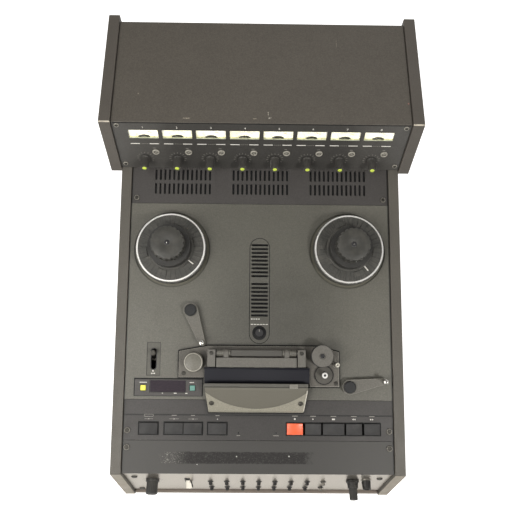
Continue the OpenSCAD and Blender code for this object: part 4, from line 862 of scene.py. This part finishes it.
CONSOLE_HOLES = ((70, 60), (70, 150), (330, 60), (330, 210), (570, 60), (570, 240))
AMP_HOLES = ((AMP_Y + 50, AMP_Z + 40), (AMP_Y + 62, AMP_TOP_Z - 20),
    (AMP_REAR - 40, AMP_Z + 40), (AMP_REAR - 40, AMP_TOP_Z - 20))
board_screws = []
for s in SIDES:
    for wide, holes in ((CONSOLE_W / 2, CONSOLE_HOLES), (CONSOLE_W / 2 + AMP_BOARD_T, AMP_HOLES)):
        board = BASE @ shift(s * wide, 0, 0) @ turn(90 * s, "Y")
        for y, z in holes:
            board_screws += screw_rows(board @ shift(-s * z, y, 0), 3.6, 2.0, 0.3, 5.5, 1.8)
make("board_screws", board_screws, [DARK_STEEL, STEEL])


# Head cover: two cup screws on its slope, a tab on its lip and a bead behind it


def cover_top(v):
    return PLATE_TOP + COVER_NOSE + (v - COVER_V0 - 3) * COVER_RISE / COVER_RUN


def cover_half(v):
    return SLOT_W / 2 - COVER_TAPER * (COVER_V - v) / COVER_LEN


cover_screws = []
for x in (HEAD_X - 79, HEAD_X + 79):
    slope = turn(math.degrees(math.atan2(COVER_RISE, COVER_RUN)), "X")
    cover_screws += screw_rows(DECK @ shift(x, 126.5, cover_top(126.5)) @ slope, 2.9, 1.5, 0.2, 4.4, 1.2)
make("head_cover_screws", cover_screws, [DARK_STEEL, DARK_STEEL])
tab = prism(rounded(15, 8, 1.2), -0.5, 1.4, 0.5)
make("head_cover_tab", [(tab, DECK @ shift(61, 157, LIP_TOP))], DULL_STEEL)
BEAD_SIDE = [(-0.6, -1.6), (1.2, -1.6), (1.7, -1.0), (1.5, -0.1), (1.0, 0.25), (-0.6, 0.25)]
bead = prism(BEAD_SIDE, SLOT_X0 + 0.4, SLOT_X1 - 0.4, 0.3)
make("head_cover_bead", [(bead, DECK @ shift(0, COVER_V, LIP_TOP) @ LYING)], CAST)

# Painted shadow outlines round the head base and the counter, and a painted highlight on the edge of the base's right
# end
BASE_LEFT, BASE_RIGHT, BASE_REAR, SHOULDER_V = SLOT_X0 - 47.5, SLOT_X1 + 57.0, GATE_V + 37.0, GATE_V + 27.38
BASE_FRONT, LEFT_FRONT, RIGHT_FRONT = COVER_V + 0.5, GATE_V - 19.0, GATE_V - 34.5
BASE_PLAN = [
    (SLOT_X0 - 2, LEFT_FRONT), (SLOT_X0 - 2, BASE_FRONT), (SLOT_X1 + 4, BASE_FRONT), (SLOT_X1 + 4, RIGHT_FRONT),
    (BASE_RIGHT, RIGHT_FRONT), (BASE_RIGHT, SHOULDER_V), (SLOT_X1 + 20, BASE_REAR), (SLOT_X0 + 5, BASE_REAR),
    (BASE_LEFT, SHOULDER_V), (BASE_LEFT, LEFT_FRONT),
]
SHADOW_OUTLINES = ((BASE_PLAN, 2.1), (rect(121.0, 29.0, (-162.8, 152.9)), 1.3))
shadow_outlines = [(frame_plate(plan, width, -0.2, PLATE_TOP + 0.02, PLATE_TOP + 0.7), DECK) for plan, width in SHADOW_OUTLINES]
make("deck_shadow_outlines", shadow_outlines, VOID)
INNER_X, INNER_V = BASE_RIGHT - HIGHLIGHT_W, RIGHT_FRONT + HIGHLIGHT_W
right_highlight = [*BASE_PLAN[3:6], (INNER_X, SHOULDER_V), (INNER_X, INNER_V), (SLOT_X1 + 4, INNER_V)]
make("head_base_highlight", [(prism(right_highlight, -0.1, 0.2, 0.1), DECK @ shift(0, 0, BASE_TOP))], DULL_STEEL)

# Painted shadow round the head cover, and a painted highlight along its one lit edge
cover_shadow = []
for v0, v1, z in ((COVER_V0 - 2.6, PLATE_V, 0.0), (PLATE_V + 0.3, COVER_V - 0.5, PLATE_TOP)):
    w0, w1 = cover_half(max(v0, COVER_V0)) + SHADOW_W, cover_half(v1) + SHADOW_W
    cover_shadow.append((prism([(-w0, v0), (w0, v0), (w1, v1), (-w1, v1)], 0.02, 0.5), DECK @ shift(HEAD_X, 0, z)))
make("head_cover_shadow", cover_shadow, VOID)
highlight_path = [(HEAD_X + cover_half(v) - 0.4, v, cover_top(v) + 0.1) for v in (COVER_V0 + 3, COVER_V - 10)]
make("head_cover_highlight", [(tube(highlight_path, 0.9, 12), DECK)], EDGE_PALE)

# Dark hum shield in the open tape slot, with a wall in front of the heads; its side is drawn from the cover's rear
SHIELD_SIDE = [
    (0.8, 0.05), (28.8, 0.05), (28.8, 19.6), (27.8, 19.6), (26.6, 8.4),
    (24.0, 7.6), (5.0, 6.8), (1.6, 5.6), (0.8, 3.5),
]
shield = prism(SHIELD_SIDE, SLOT_X0 - 0.6, SLOT_X1 + 3.0, 0.4)
make("tape_slot_shield", [(shield, DECK @ shift(0, COVER_V, BASE_TOP) @ LYING)], SHADE, angle=60)

# Springs and collars on the gate's hinge pin
HINGE = DECK @ shift(HEAD_X, HINGE_V, HINGE_W)
COIL_R, COIL_LEN, COIL_TURNS, COIL_STEPS, WIRE_R = 5.1, 10.0, 6, 96, 0.7
springs, collars = [], []
for s in SIDES:
    coil = []
    for k in range(COIL_STEPS + 1):
        a = 360 * COIL_TURNS * k / COIL_STEPS
        coil.append((s * (61 + COIL_LEN * k / COIL_STEPS), COIL_R * cos(a), COIL_R * sin(a)))
    leg = [coil[-1], (s * 71, COIL_R, BASE_TOP + 0.5 - HINGE_W)]
    springs += [(tube(coil, WIRE_R, 8), HINGE), (tube(leg, WIRE_R, 8), HINGE)]
    collars += [(ring(4.1, 6.2, -0.8, 0.8), HINGE @ shift(s * d, 0, 0) @ turn(90, "Y")) for d in (47.5, 59.8)]
make("gate_springs", springs, DULL_STEEL)
make("hinge_collars", collars, DULL_STEEL)

# Meters: lit dial, scale, needle, hood with a painted highlight, ledge and glass in each window; printed marks and
# lamp bezels below
dials, scales, needles, hoods, ledges, glass = ([] for _ in range(6))
print_marks, grey_marks, bezels, lenses = ([] for _ in range(4))
FOOT_Y, HOOD_AT = -WINDOW_H / 2 + 0.45, (0, -WINDOW_H / 2 + 0.2)
NEEDLE = prism([(-0.35, 12.0), (0.35, 12.0), (0.16, 29.0), (-0.16, 29.0)], 1.0, 1.25)
TICK, TICK_R = (0.3, 2.2), SCALE_R + 1.6
BEZEL = lathe([(3.9, 0), (6.6, 0), (6.6, 1.2), (5.9, 2.2), (4.5, 2.2), (3.9, 1.3)], 40)
LEGEND_S = 72.4
for i in CHANNELS:
    column = METER @ shift(channel_x(i), 0, 0)
    window = column @ shift(0, WINDOW_S, 0)
    dial = window @ shift(0, 0, DIAL_N)
    pivot = dial @ shift(0, NEEDLE_PIVOT, 0)
    dials.append((prism(rect(WINDOW_W - 0.4, WINDOW_H - 0.4), 0, 0.4), dial))
    scales.append((prism(band(SCALE_R, SCALE_R + 0.28, 76, 123, 16), *SCALE_INK), pivot))
    scales.append((prism(band(SCALE_R, SCALE_R + 0.9, 57, 76, 16), *SCALE_INK), pivot, 1))
    scales += ticks(pivot, 8, 33, -6.6, TICK, TICK_R, SCALE_INK)
    scales += ticks(pivot, 3, -19.8, -6.6, TICK, TICK_R, SCALE_INK, 1)
    needles.append((NEEDLE, pivot @ turn(31, "Z")))
    hoods.append((prism(arc(10.5, 0, 180, 24, HOOD_AT, 5.4), 0.3, 2.2, 0.6), dial))
    # Pale arc on the dark hood: painted highlight
    hoods.append((prism(arc(6.6, 0, 180, 20, HOOD_AT, 2.6), 2.1, 2.5, 0.2), dial, 1))
    ledges.append((bar(WINDOW_W - 0.3, 0.7, 0, FOOT_Y, (-2.1, -0.4)), window))
    ledges.append((bar(WINDOW_W - 0.3, 0.9, 0, FOOT_Y, (DIAL_N + 0.3, -2.1)), window, 1))
    glass.append((prism(rect(WINDOW_W - 0.1, WINDOW_H - 2.2, (0, 1.0)), -1.9, -1.1, 0.2), window))
    print_marks.append((numeral(i, 6.4), column @ shift(0.8, 114.2, 0)))
    print_marks += [(bar(w, 1.8, x, LEGEND_S), column) for x, w in ((-17.35, 16.5), (16.55, 16.7))]
    grey_marks += [(bar(2.0, 1.0, -5.2 + 3.2 * k, LEGEND_S), column) for k in range(4)]
    grey_marks.append((bar(5.0, 1.1, 15, 60.8), column))
    grey_marks += ticks(column @ shift(LEVEL_X, LEVEL_S, 0), 11, 120, -24, (0.7, 3.4), 14.2)
    at = column @ shift(16.9, 51.0, 0)
    bezels += [(BEZEL, at), (prism(circle(3.6, 6), 0.0, 1.2, 0.5), at, 1)]
    bezels.append((prism(rect(5.4, 0.9), 1.1, 1.5, 0.1), at @ turn(30, "Z")))
    lenses.append((ring(0, 4.0, 0, 0.5), at))
make("meter_dials", dials, DIAL)
make("meter_ledges", ledges, LEDGES)
make("meter_scales", scales, SCALE_INKS)
make("meter_needles", needles, DARK)
make("meter_hoods", hoods, HOODS)
make("meter_glass", glass, clear.mat)
# Dark seam under the front edge of the bridge cover
seam = prism(rect(PANEL_W + 34, 2.0, (0, METER_LEN - 3.2)), 0.02, 0.3, 0.1)
make("cover_seam", [(seam, METER)], VOID)
make("channel_marks", print_marks, BRIGHT_INK)
make("meter_panel_ticks", grey_marks, DIM_INK)
make("lamp_bezels", bezels, [PALE_RING, DULL_STEEL])
make("lamp_wells", lenses, DARK)


# Level knobs: coloured tip, skirt and pointer line, moving with each knob; the fifth is set differently
SKIRT = lathe([(3.2, 0.55), (8.3, 0.55), (8.3, 2.6), (7.7, 3.4), (3.2, 3.4)])
POINTER = prism(rect(0.9, 17.0, (0, 12.5)), 7.2, 7.62, 0.1)
for i, knob in enumerate(LEVEL_KNOBS):
    at = METER @ shift(channel_x(i) + LEVEL_X, LEVEL_S, 0)
    heading = turn(180 + (78 if i == 4 else 150), "Z") @ turn(90, "X")
    tip = cap(3.8, -0.3, 0.3, 3.1, 0.7, 0.9, 36)
    make(f"level_tip_{i + 1}", [(tip, at @ shift(0, 0, LEVEL_LEN))], TIP, body=knob)
    make(f"level_skirt_{i + 1}", [(SKIRT, at)], LEVEL, knob)
    make(f"level_pointer_{i + 1}", [(POINTER, at @ heading)], WHITE_INK, body=knob)

# Counter: display window and marks on its bezel
COUNTER = DECK @ shift(-163.8, 154.9, 0)
make("counter_display", [(prism(rounded(63.2, 20.8, 0.8), 0.95, 1.75, 0.2), COUNTER)], DISPLAY)
COUNTER_MARKS = ((2.2, -9.4, -12.6), (5.0, 13.6, -12.6), (4.0, 33.4, -12.6), (13.0, -44.2, 6.4), (8.0, 43.0, 6.4))
make("counter_marks", [(bar(w, 1.3, x, y), COUNTER @ shift(0, 0, 2.0)) for w, x, y in COUNTER_MARKS], WHITE_INK)

# Speaker strip: face with slots, a painted shade line round its inset, mesh and marks; cap of its knob, with a sunk
# black ring and a raised black ring round it as a painted shadow
STRIP = DECK @ shift(0, STRIP_V, 0)
STRIP_KNOB = STRIP @ shift(0, SPEAKER_KNOB_S, 0)
INLAY_R = STRIP_W / 2 - 1.3
INLAY = arc(INLAY_R, 0, 180, 20, (0, STRIP_LEN - STRIP_W / 2)) + arc(INLAY_R, 180, 360, 20, (0, STRIP_W / 2))
SLOTS = [rounded(30, 3.2, 0.8, 3, (0, c + (k - 4) * STRIP_PITCH)) for c in (80.7, 153.3) for k in range(9)]
grille = plate(INLAY, SLOTS + [circle(13.0, 48, (0, SPEAKER_KNOB_S))], 0.02, 0.8)
make("speaker_grille", [(grille, STRIP)], DECK_PAINT)
# Painted shade line round the inset
make("speaker_inset_shade", [(frame_plate(INLAY, 1.25, 0.05, 0.02, 0.3), STRIP)], VOID)
# Black ring round the knob: painted shadow
knob_shadow_well = lathe([(8.5, -1.48), (12.7, -1.48), (12.7, 0.7), (11.9, 0.7), (11.6, -1.1), (8.5, -1.1)], 64)
make("speaker_knob_shadow_well", [(knob_shadow_well, STRIP_KNOB)], VOID)
make("speaker_slot_liners", [(frame_plate(s, 0.45, -0.05, 0.7, 0.86), STRIP) for s in SLOTS], VOID)
strip_marks = [(3.0, 1.5, -14.0, 45.2), (2.4, 1.5, -9.6, 45.2), (3.2, 1.5, -5.2, 45.2), (2.6, 1.5, -0.8, 45.2)]
strip_marks += [(4.2, 1.1, -13.5 + 5.4 * k, 35.5) for k in range(6)]
make("speaker_marks", [(bar(*mark), STRIP @ shift(0, 0, 0.8)) for mark in strip_marks], WHITE_INK)
HOLES = [circle(0.55, 6, (-17 + 2 * a + (b % 2), 46 + 1.75 * b)) for a in range(18) for b in range(80)]
mesh_plate = plate(rect(40, 146, (0, 117)), HOLES, -PANEL_T - 0.7, -PANEL_T - 0.1)
make("speaker_mesh", [(mesh_plate, STRIP)], VOID)
knob_cap = [
    (cap(7.3, 5.9, 6.4, 6.6, 6.9, 6.6, 40), STRIP_KNOB),
    (lathe([(7.7, 1.2), (8.3, 1.2), (8.3, 5.0), (7.7, 5.6)], 40), STRIP_KNOB, 2),
    (prism(rect(0.9, 4.0, (0, 4.2)), 6.5, 7.0, 0.1), STRIP_KNOB, 1),
]
make("speaker_knob_cap", knob_cap, [DARK, DIM_INK, VOID], "speaker_knob")
# Second black ring round the knob: painted shadow
knob_shadow_seat = lathe([(8.7, 0.6), (12.9, 0.6), (12.9, 0.95), (12.4, 1.1), (8.7, 1.1)])
make("speaker_knob_shadow_seat", [(knob_shadow_seat, STRIP_KNOB)], VOID)
vents = [(bar(118, 62, x, 533.6, (-PANEL_T - 1.0, -PANEL_T - 0.2)), DECK) for x in (-146, 0, 146)]
make("vent_screens", vents, VOID)

# Button panel: painted shade round the keys, transport signs, setting marks and two small lamps
KEY_GROUPS = ((LEFT_X[0], LEFT_X[0], BUTTON_W), (LEFT_X[1], LEFT_X[2], BUTTON_W), (LEFT_X[3], LEFT_X[3], BUTTON_W),
    (KEY_X[0], KEY_X[4], KEY_W))
OPENINGS = [rect(x1 - x0 + w, OPENING_D, ((x0 + x1) / 2, PRESS_V)) for x0, x1, w in KEY_GROUPS]
# Painted shade round the key openings
key_shade_frames = [(frame_plate(opening, FRAME_W, 0, 0.02, 0.5), DECK) for opening in OPENINGS]
make("key_shade_frames", key_shade_frames, VOID)
AHEAD = [(-1.3, -1.5), (1.5, 0.0), (-1.3, 1.5)]
BEHIND = [(1.3, 1.5), (-1.5, 0.0), (1.3, -1.5)]
SIGNS = [
    (circle(1.5, 20), KEY_X[0]), (AHEAD, KEY_X[1]), (rect(5.4, 2.6), KEY_X[2]), (BEHIND, KEY_X[3] - 1.7),
    (BEHIND, KEY_X[3] + 1.7), (AHEAD, KEY_X[4] - 1.7), (AHEAD, KEY_X[4] + 1.7),
]
signs = [(prism(outline, *INK), DECK @ shift(x, 98.2, 0)) for outline, x in SIGNS]
signs += [(prism([(-1.2, -0.9), (1.2, -0.9), (0.0, 0.9)], *INK), DECK @ shift(x, 97.4, 0)) for x in LEFT_X]
make("transport_signs", signs, WHITE_INK)
LAMPS_X = (-36.0, 31.0)
faint = [(w, 0.6, x, 97.2) for x, w in zip(LEFT_X, (15, 17, 17))]
faint += [(w, 1.1, x, 103.4) for x, w in zip(LEFT_X[1:] + KEY_X, (9, 7, 7, 10, 10, 10, 10, 10))]
faint += [(w, 1.0, x, 69.0) for x, w in zip(LAMPS_X, (6.0, 10.0))]
oval = plate(rounded(17, 4.4, 2.1, 6), [rounded(15.8, 3.2, 1.55, 6)], *INK)
panel_marks = [(bar(*mark), DECK) for mark in faint] + [(oval, DECK @ shift(LEFT_X[0], 103.2, 0))]
make("button_panel_marks", panel_marks, DIM_INK)
panel_lamps = [(cap(1.3, -0.1, 0.7, 0.7, 1.3, 1.5, 20), DECK @ shift(x, 73.4, 0)) for x in LAMPS_X]
make("panel_lamps", panel_lamps, DARK)

# Reels: bright rim, flange sectors, white index mark and fluted lock cap
FLUTED = []
for a in (1.5 * k for k in range(240)):
    r = 29.5 - 1.9 * (0.5 + 0.5 * cos(20 * a)) ** 3
    FLUTED.append((r * cos(a), r * sin(a)))
R0, R1 = RIM_R - RIM_W - 0.1, RIM_R + 0.12
RIM_SIDE = [
    (R1, 0.6), (R1, RIM_H - 0.5), (R1 - 0.9, RIM_H + 0.3),
    (R0 + 0.7, RIM_H + 0.3), (R0, RIM_H - 0.4), (R0, 0.6),
]
COLLAR = lathe([(38.0, -0.1), (41.4, -0.1), (41.4, 1.4), (40.4, 2.4), (38.0, 2.4)], 96)
LOCK_FACE = lathe([(0, -0.2), (27.4, -0.2), (27.4, 0.3), (26.8, 0.6), (6.2, 0.45), (5.2, -0.05), (0, -0.05)], 72)
LOCK_NUT = lathe([(0, -0.1), (4.6, -0.1), (4.6, 0.5), (3.6, 0.9), (2.0, 0.9), (1.7, 0.2), (0, 0.2)], 36)
LOCK_PIN = lathe([(0, 0.15), (1.5, 0.15), (1.2, 1.1), (0, 1.4)], 24)
for side, s, spin, mark_at in (("left", -1, 12, -36), ("right", 1, -8, -50)):
    table, flange, lock = (DECK @ shift(s * REEL_X, REEL_V, z) for z in (TABLE_TOP, FLANGE_TOP, LOCK_TOP))
    body = f"{side}_reel"
    make(f"{side}_reel_rim", [(lathe(RIM_SIDE, 128), table)], RIM, body)
    sector = prism(band(43.4, 52.6, -11, 11, 4), -0.1, 1.8, 0.5)
    sectors = [(sector, flange @ turn(spin + 60 * k, "Z")) for k in range(6)]
    make(f"{side}_hub_sectors", sectors + [(COLLAR, flange)], HUB, body)
    index = prism(rect(11.0, 2.0, (46.5, 0)), 1.3, 2.7, 0.2)
    make(f"{side}_hub_mark", [(index, flange @ turn(mark_at, "Z"))], WHITE_INK, body=body)
    lock_cap = [(prism(FLUTED, -1.9, 0.1, 0.3), lock), (LOCK_FACE, lock), (LOCK_NUT, lock, 1), (LOCK_PIN, lock, 2)]
    make(f"{side}_lock_cap", lock_cap, [KNOB, DARK, CHROME], f"{side}_lock")

# Tension arms: dark pivot caps, chrome tape pins
for side, (place, angle) in ARMS.items():
    arm = DECK @ shift(*place, ARM_TOP) @ turn(angle, "Z")
    body, pin_h = f"{side}_tension_arm", ARM_PIN_TOP - ARM_TOP
    collar = lathe([(10.0, -0.1), (10.8, -0.1), (10.8, 0.6), (10.0, 1.2)])
    cap_rows = [(cap(10.1, 2.8, 3.6, 9.2, 4.4, 4.7, 48), arm), (collar, arm)]
    make(f"{side}_arm_cap", cap_rows, CAP_BLACK, body)
    pin = arm @ shift(ARM_LEN, 0, 0)
    head = cap(4.15, -0.2, 0.3, 3.2, 1.0, 1.5, 32)
    pin_rows = [(ring(3.05, 3.6, 0.1, pin_h - 3.4), pin), (head, pin @ shift(0, 0, pin_h))]
    make(f"{side}_arm_pin", pin_rows, CHROME, body)

# Rollers, capstan and guide post
guide, pinch, shaft, post = (DECK @ shift(*place, BASE_TOP) for place in (GUIDE, PINCH, CAPSTAN, POST))
guide_rim = lathe([(14.6, 17.6), (16.2, 17.6), (16.4, 18.0), (15.9, 18.8), (14.9, 19.1), (14.6, 18.8)], 64)
guide_rows = [(cap(14.4, 18.3, 18.7, 13.8, 19.0, 19.0, 64), guide), (guide_rim, guide, 1)]
make("guide_roller_cap", guide_rows, [ROLLER, PALE_RING], "guide_roller")
pinch = pinch @ shift(0, 0, 23.0)
pinch_disc = lathe([(0, 0.9), (19.1, 0.9), (19.1, 1.5), (18.4, 2.0), (6.0, 2.0), (5.2, 1.4), (0, 1.4)], 64)
pinch_rows = [(pinch_disc, pinch), (ring(4.2, 19.6, -0.1, 0.95, 64), pinch, 1)]
pinch_rows.append((screw_head(3.9, 2.0), pinch @ shift(0, 0, 1.3), 2))
make("pinch_roller_cap", pinch_rows, [GATE_PAINT, RUBBER, DARK], "pinch_roller")
capstan_rim = lathe([(2.1, 18.0), (5.1, 18.0), (5.1, 18.9), (4.5, 19.5), (2.7, 19.5), (2.1, 18.9)], 40)
tip_rows = [(capstan_rim, shaft), (ring(0, 2.05, 17.4, 17.9, 24), shaft, 1)]
make("capstan_tip", tip_rows, [RIM, DARK], "capstan")
seat_rings = []
for k, (r0, r1, h) in enumerate(((6.2, 15.6, 3.4), (15.5, 16.9, 3.2))):
    profile = [(r0, 2.6), (r1, 2.6), (r1, h - 0.3), (r1 - 0.4, h), (r0 + 0.4, h), (r0, h - 0.3)]
    seat_rings.append((lathe(profile, 64), shaft, k))
make("capstan_seat_rings", seat_rings, [SEAT, VOID])
post_rim = lathe([(1.5, 24.9), (3.7, 24.9), (3.7, 25.4), (3.2, 25.9), (2.0, 25.9), (1.5, 25.5)], 32)
make("guide_post_sleeve", [(ring(3.05, 3.5, 4.0, 21.9), post), (post_rim, post, 1)], [CHROME, EDGE_PALE])

# Cue lever: round grip on the stick, dark edge of its slot and small marks before it
CUE = DECK @ shift(CUE_X, CUE_V, 0)
GRIP_SIDE = [(0, 30.0), (2.9, 30.0), (4.1, 31.2), (4.75, 33.0), (4.75, 35.6), (4.2, 38.4), (3.2, 39.6), (0, 39.9)]
grip = lathe(GRIP_SIDE, 36)
make("cue_lever_grip", [(grip, CUE @ shift(0, 0, -24) @ turn(-18, "X"))], GRIP, "cue_lever")
make("cue_slot_liner", [(frame_plate(rounded(9.0, 37.0, 4.48, 8), 1.1, 0, 0.02, 0.25), CUE)], DARK)
cue_marks = [(bar(1.8, 2.0, x, -26.0), CUE) for x in (-3.2, -0.4, 2.2)]
make("cue_marks", cue_marks + [(prism(circle(1.5, 20, (-0.5, -21.5)), *INK), CUE)], WHITE_INK)

# Front panel: small levers with their nuts, pale power lever, printed marks, knob caps and the jack's rings
LEVER = lathe([(2.2, 4.2), (2.9, 4.2), (3.3, 6.5), (3.6, 7.9), (3.0, 9.2), (0, 9.6)], 24)
NUT = lathe([(2.6, -0.05), (5.0, -0.05), (5.0, 1.0), (4.2, 1.8), (2.6, 1.8)], 6)
WASHER = lathe([(4.3, -0.05), (5.9, -0.05), (5.8, 0.35), (4.3, 0.4)], 32)
levers, front_marks = [], []
for i in CHANNELS:
    column = FACE @ shift(switch_x(i), 0, 0)
    for s in (96.0, 46.0):
        levers.append((LEVER, column @ shift(0, s, -3) @ turn(14, "X"), 2 if i == 7 else 0))
        levers += [(NUT, column @ shift(0, s - 0.6, 0)), (WASHER, column @ shift(0, s - 0.6, 0), 1)]
    front_marks.append((numeral(i, 5.0, FRONT_INK), column @ shift(0, 122, 0)))
    front_marks += [(bar(7.0, 0.9, 0, s, FRONT_INK), column) for s in (80, 62, 30)]
for x, r in ((LEFT_KNOB_X, 17.5), (RIGHT_KNOB_X, 14.0)):
    front_marks += ticks(FACE @ shift(x, FRONT_KNOB_S, 0), 11, 140, -28, (0.7, 3.0), r, FRONT_INK)
make("switch_levers", levers, [SWITCH_CAP, DARK_STEEL, PALE_LEVER])
POWER = FACE @ shift(POWER_X, POWER_S, 0)
power_at = POWER @ shift(0, -6, -3) @ turn(45, "X") @ turn(14, "Y")
power = [
    (prism(rounded(7.4, 5.8, 1.4, 4), 8.0, 19.2, 1.2), power_at),
    (prism(rounded(7.2, 5.4, 1.2, 4), 6.5, 8.1), power_at),
    # Dark strip along the lever's right side: painted shade
    (prism(rect(1.3, 5.0, (4.0, -0.6)), 7.0, 18.6, 0.3), power_at, 1),
]
make("power_lever", power, [IVORY, VOID])
bezel = plate(rounded(11, 34, 1.6, 4), [rounded(8.0, 31, 0.8, 4)], -0.05, 0.5)
make("power_bezel", [(bezel, POWER)], BLACK)
make("front_panel_marks", front_marks, DARK_INK)
KNOBS = (
    ("left", LEFT_KNOB_X, LEFT_KNOB_R, LEFT_KNOB_LEN, 0.0),
    ("right", RIGHT_KNOB_X, RIGHT_KNOB_R, RIGHT_KNOB_LEN, KNOB_NECK),
)
for side, x, r, length, neck in KNOBS:
    at = FACE @ shift(x, FRONT_KNOB_S, 0)
    end = at @ shift(0, 0, length)
    rows = [(cap(r - 1.0, -0.2, 0.2, r - 1.8, 0.5, 0.3, 40), end)]
    rows.append((prism(rect(1.0, r - 2.0, (0, r / 2)), 0.2, 0.6, 0.1), end @ turn(140, "Z"), 1))
    if neck:
        collar = [(r - 1.05, 0.7), (r + 4.4, 0.7), (r + 4.4, 3.4), (r + 2.6, 5.0), (r + 1.9, neck), (r - 1.05, neck)]
        rows.append((lathe(collar, 40), at, 2))
    make(f"{side}_front_knob_cap", rows, [KEY, DIM_INK, SWITCH_CAP], f"{side}_front_knob")
jack = FACE @ shift(JACK_X, FRONT_KNOB_S, 0)
JACK_END = JACK_RISE + 8.0
washer = lathe([(8.1, 0.0), (10.4, 0.0), (10.4, 0.7), (9.8, 1.0), (8.1, 1.0)])
sleeve = lathe([(5.62, 3.0), (8.6, 3.0), (8.2, 6.0), (7.2, JACK_END - 0.6), (6.6, JACK_END), (5.62, JACK_END)], 40)
make("jack_washer", [(washer, jack), (sleeve, jack, 1)], [STEEL, SWITCH_CAP])

# Rear: contact rings of the sockets and channel numbers; washers of the feet
rings, rear_marks = [], []
for i in CHANNELS:
    column = AMP_BACK @ shift(-channel_x(i), PAN_Z, 0)
    for k, z in enumerate((30, 62)):
        at = column @ shift(0, z, 0)
        rings += [(ring(4.2, 5.6, 2.4, 3.1), at), (ring(1.75, 4.1, 10.9, 11.3), at, 1 + k)]
    rear_marks.append((numeral(i, 7.0), column @ shift(0, 46, 0)))
make("socket_rings", rings, [STEEL, *SOCKETS])
make("rear_numbers", rear_marks, WHITE_INK)
FEET_Y = (9 / cos(FRONT_LEAN) + 34, REAR_Y - REAR_INSET - 34)
FEET = [BASE @ shift(s * (INNER_W / 2 - 34), y, 0) @ turn(180, "X") for s in SIDES for y in FEET_Y]
make("foot_washers", [(ring(3.2, 6.5, -3.0, -0.4), at) for at in FEET], STEEL)

# Stage: a floor that the camera and reflections see as white, and that keeps the object's shadow
FLOOR, FLOOR_HALF = (0.72, 0.715, 0.7), 80
ground = Paint("floor_white", FLOOR, 1.0)
ray = ground.node("ShaderNodeLightPath").outputs
seen = ground.math("MULTIPLY_ADD", ray["Is Glossy Ray"], 0.3, ray["Is Camera Ray"])
white = ground.math("MAXIMUM", seen, ray["Is Transmission Ray"])
glow = ground.node("ShaderNodeEmission", {"Strength": white}).outputs[0]
matt = ground.node("ShaderNodeBsdfDiffuse", {"Color": (*FLOOR, 1.0)}).outputs[0]
surface = ground.node("ShaderNodeAddShader", {0: matt, 1: glow}).outputs[0]
ground.tree.links.new(surface, ground.tree.nodes["Material Output"].inputs["Surface"])
ground.tree.nodes.remove(ground.bsdf)
floor_mesh = bpy.data.meshes.new("floor")
floor_mesh.from_pydata([(x, y, 0) for x, y in rect(2 * FLOOR_HALF, 2 * FLOOR_HALF)], [], [(0, 1, 2, 3)])
floor_mesh.materials.append(ground.mat)
floor = bpy.data.objects.new("floor", floor_mesh)
bpy.context.scene.collection.objects.link(floor)

# The room is brighter to the left and right than overhead
world = bpy.data.worlds.new("studio")
bpy.context.scene.world = world
world.use_nodes = True
room = world.node_tree
sky = room.nodes["Background"]
sky.inputs["Color"].default_value = (1.0, 0.99, 0.97, 1.0)
ROOM_KINDS = ("TexCoord", "SeparateXYZ", "Math", "MapRange")
facing, sideways, either, level = (room.nodes.new(f"ShaderNode{kind}") for kind in ROOM_KINDS)
either.operation = "ABSOLUTE"
for key, value in (("From Min", 0.12), ("From Max", 0.6), ("To Min", 0.1), ("To Max", 0.56)):
    level.inputs[key].default_value = value
room.links.new(facing.outputs["Generated"], sideways.inputs[0])
room.links.new(sideways.outputs["X"], either.inputs[0])
room.links.new(either.outputs[0], level.inputs["Value"])
room.links.new(level.outputs["Result"], sky.inputs["Strength"])

# Lamps: name, place, aim, size, power
HIGH, HIGH_AIM = (DECK @ Vector(place) * MM for place in ((-520, 300, 1500), (-200, 280, 0)))
LAMPS = (
    ("left_light", (-1.0, -1.3, 1.8), (-0.1, -0.05, 0.25), 0.8, 20.0),
    ("right_light", (1.02, -1.25, 1.85), (0.12, -0.05, 0.25), 0.24, 19.0),
    ("near_light", (-0.8, -0.4, 0.85), (-0.2, -0.08, 0.25), 0.45, 1.7),
    ("high_light", HIGH, HIGH_AIM, 0.5, 3.2),
    ("rear_light", (0.5, 1.7, 1.9), (0, 0.1, 0.3), 1.6, 4.0),
)
for name, place, aim, size, power in LAMPS:
    light = bpy.data.lights.new(name, "AREA")
    light.size, light.energy, light.color = size, power, (1.0, 0.985, 0.95)
    obj = bpy.data.objects.new(name, light)
    obj.location = place
    obj.rotation_mode = "QUATERNION"
    obj.rotation_quaternion = (Vector(aim) - Vector(place)).to_track_quat("-Z", "Y")
    bpy.context.scene.collection.objects.link(obj)

# Camera: the lens and the place fitted to the photo, whose frame is 512 pixels wide
camera = bpy.data.cameras.new("camera")
camera.sensor_width, camera.lens = 36.0, 620.0 / 512.0 * 36.0
eye = bpy.data.objects.new("camera", camera)
look = DECK @ shift(-20.5, 224.97, 1141.06) @ turn(0.451, "Z") @ turn(-0.741, "Y") @ turn(8.372, "X")
eye.matrix_world = Matrix.Translation(look.to_translation() * MM) @ look.to_3x3().to_4x4()
bpy.context.scene.collection.objects.link(eye)
bpy.context.scene.camera = eye
bpy.context.scene.view_settings.view_transform = "Standard"

bpy.context.view_layer.update()
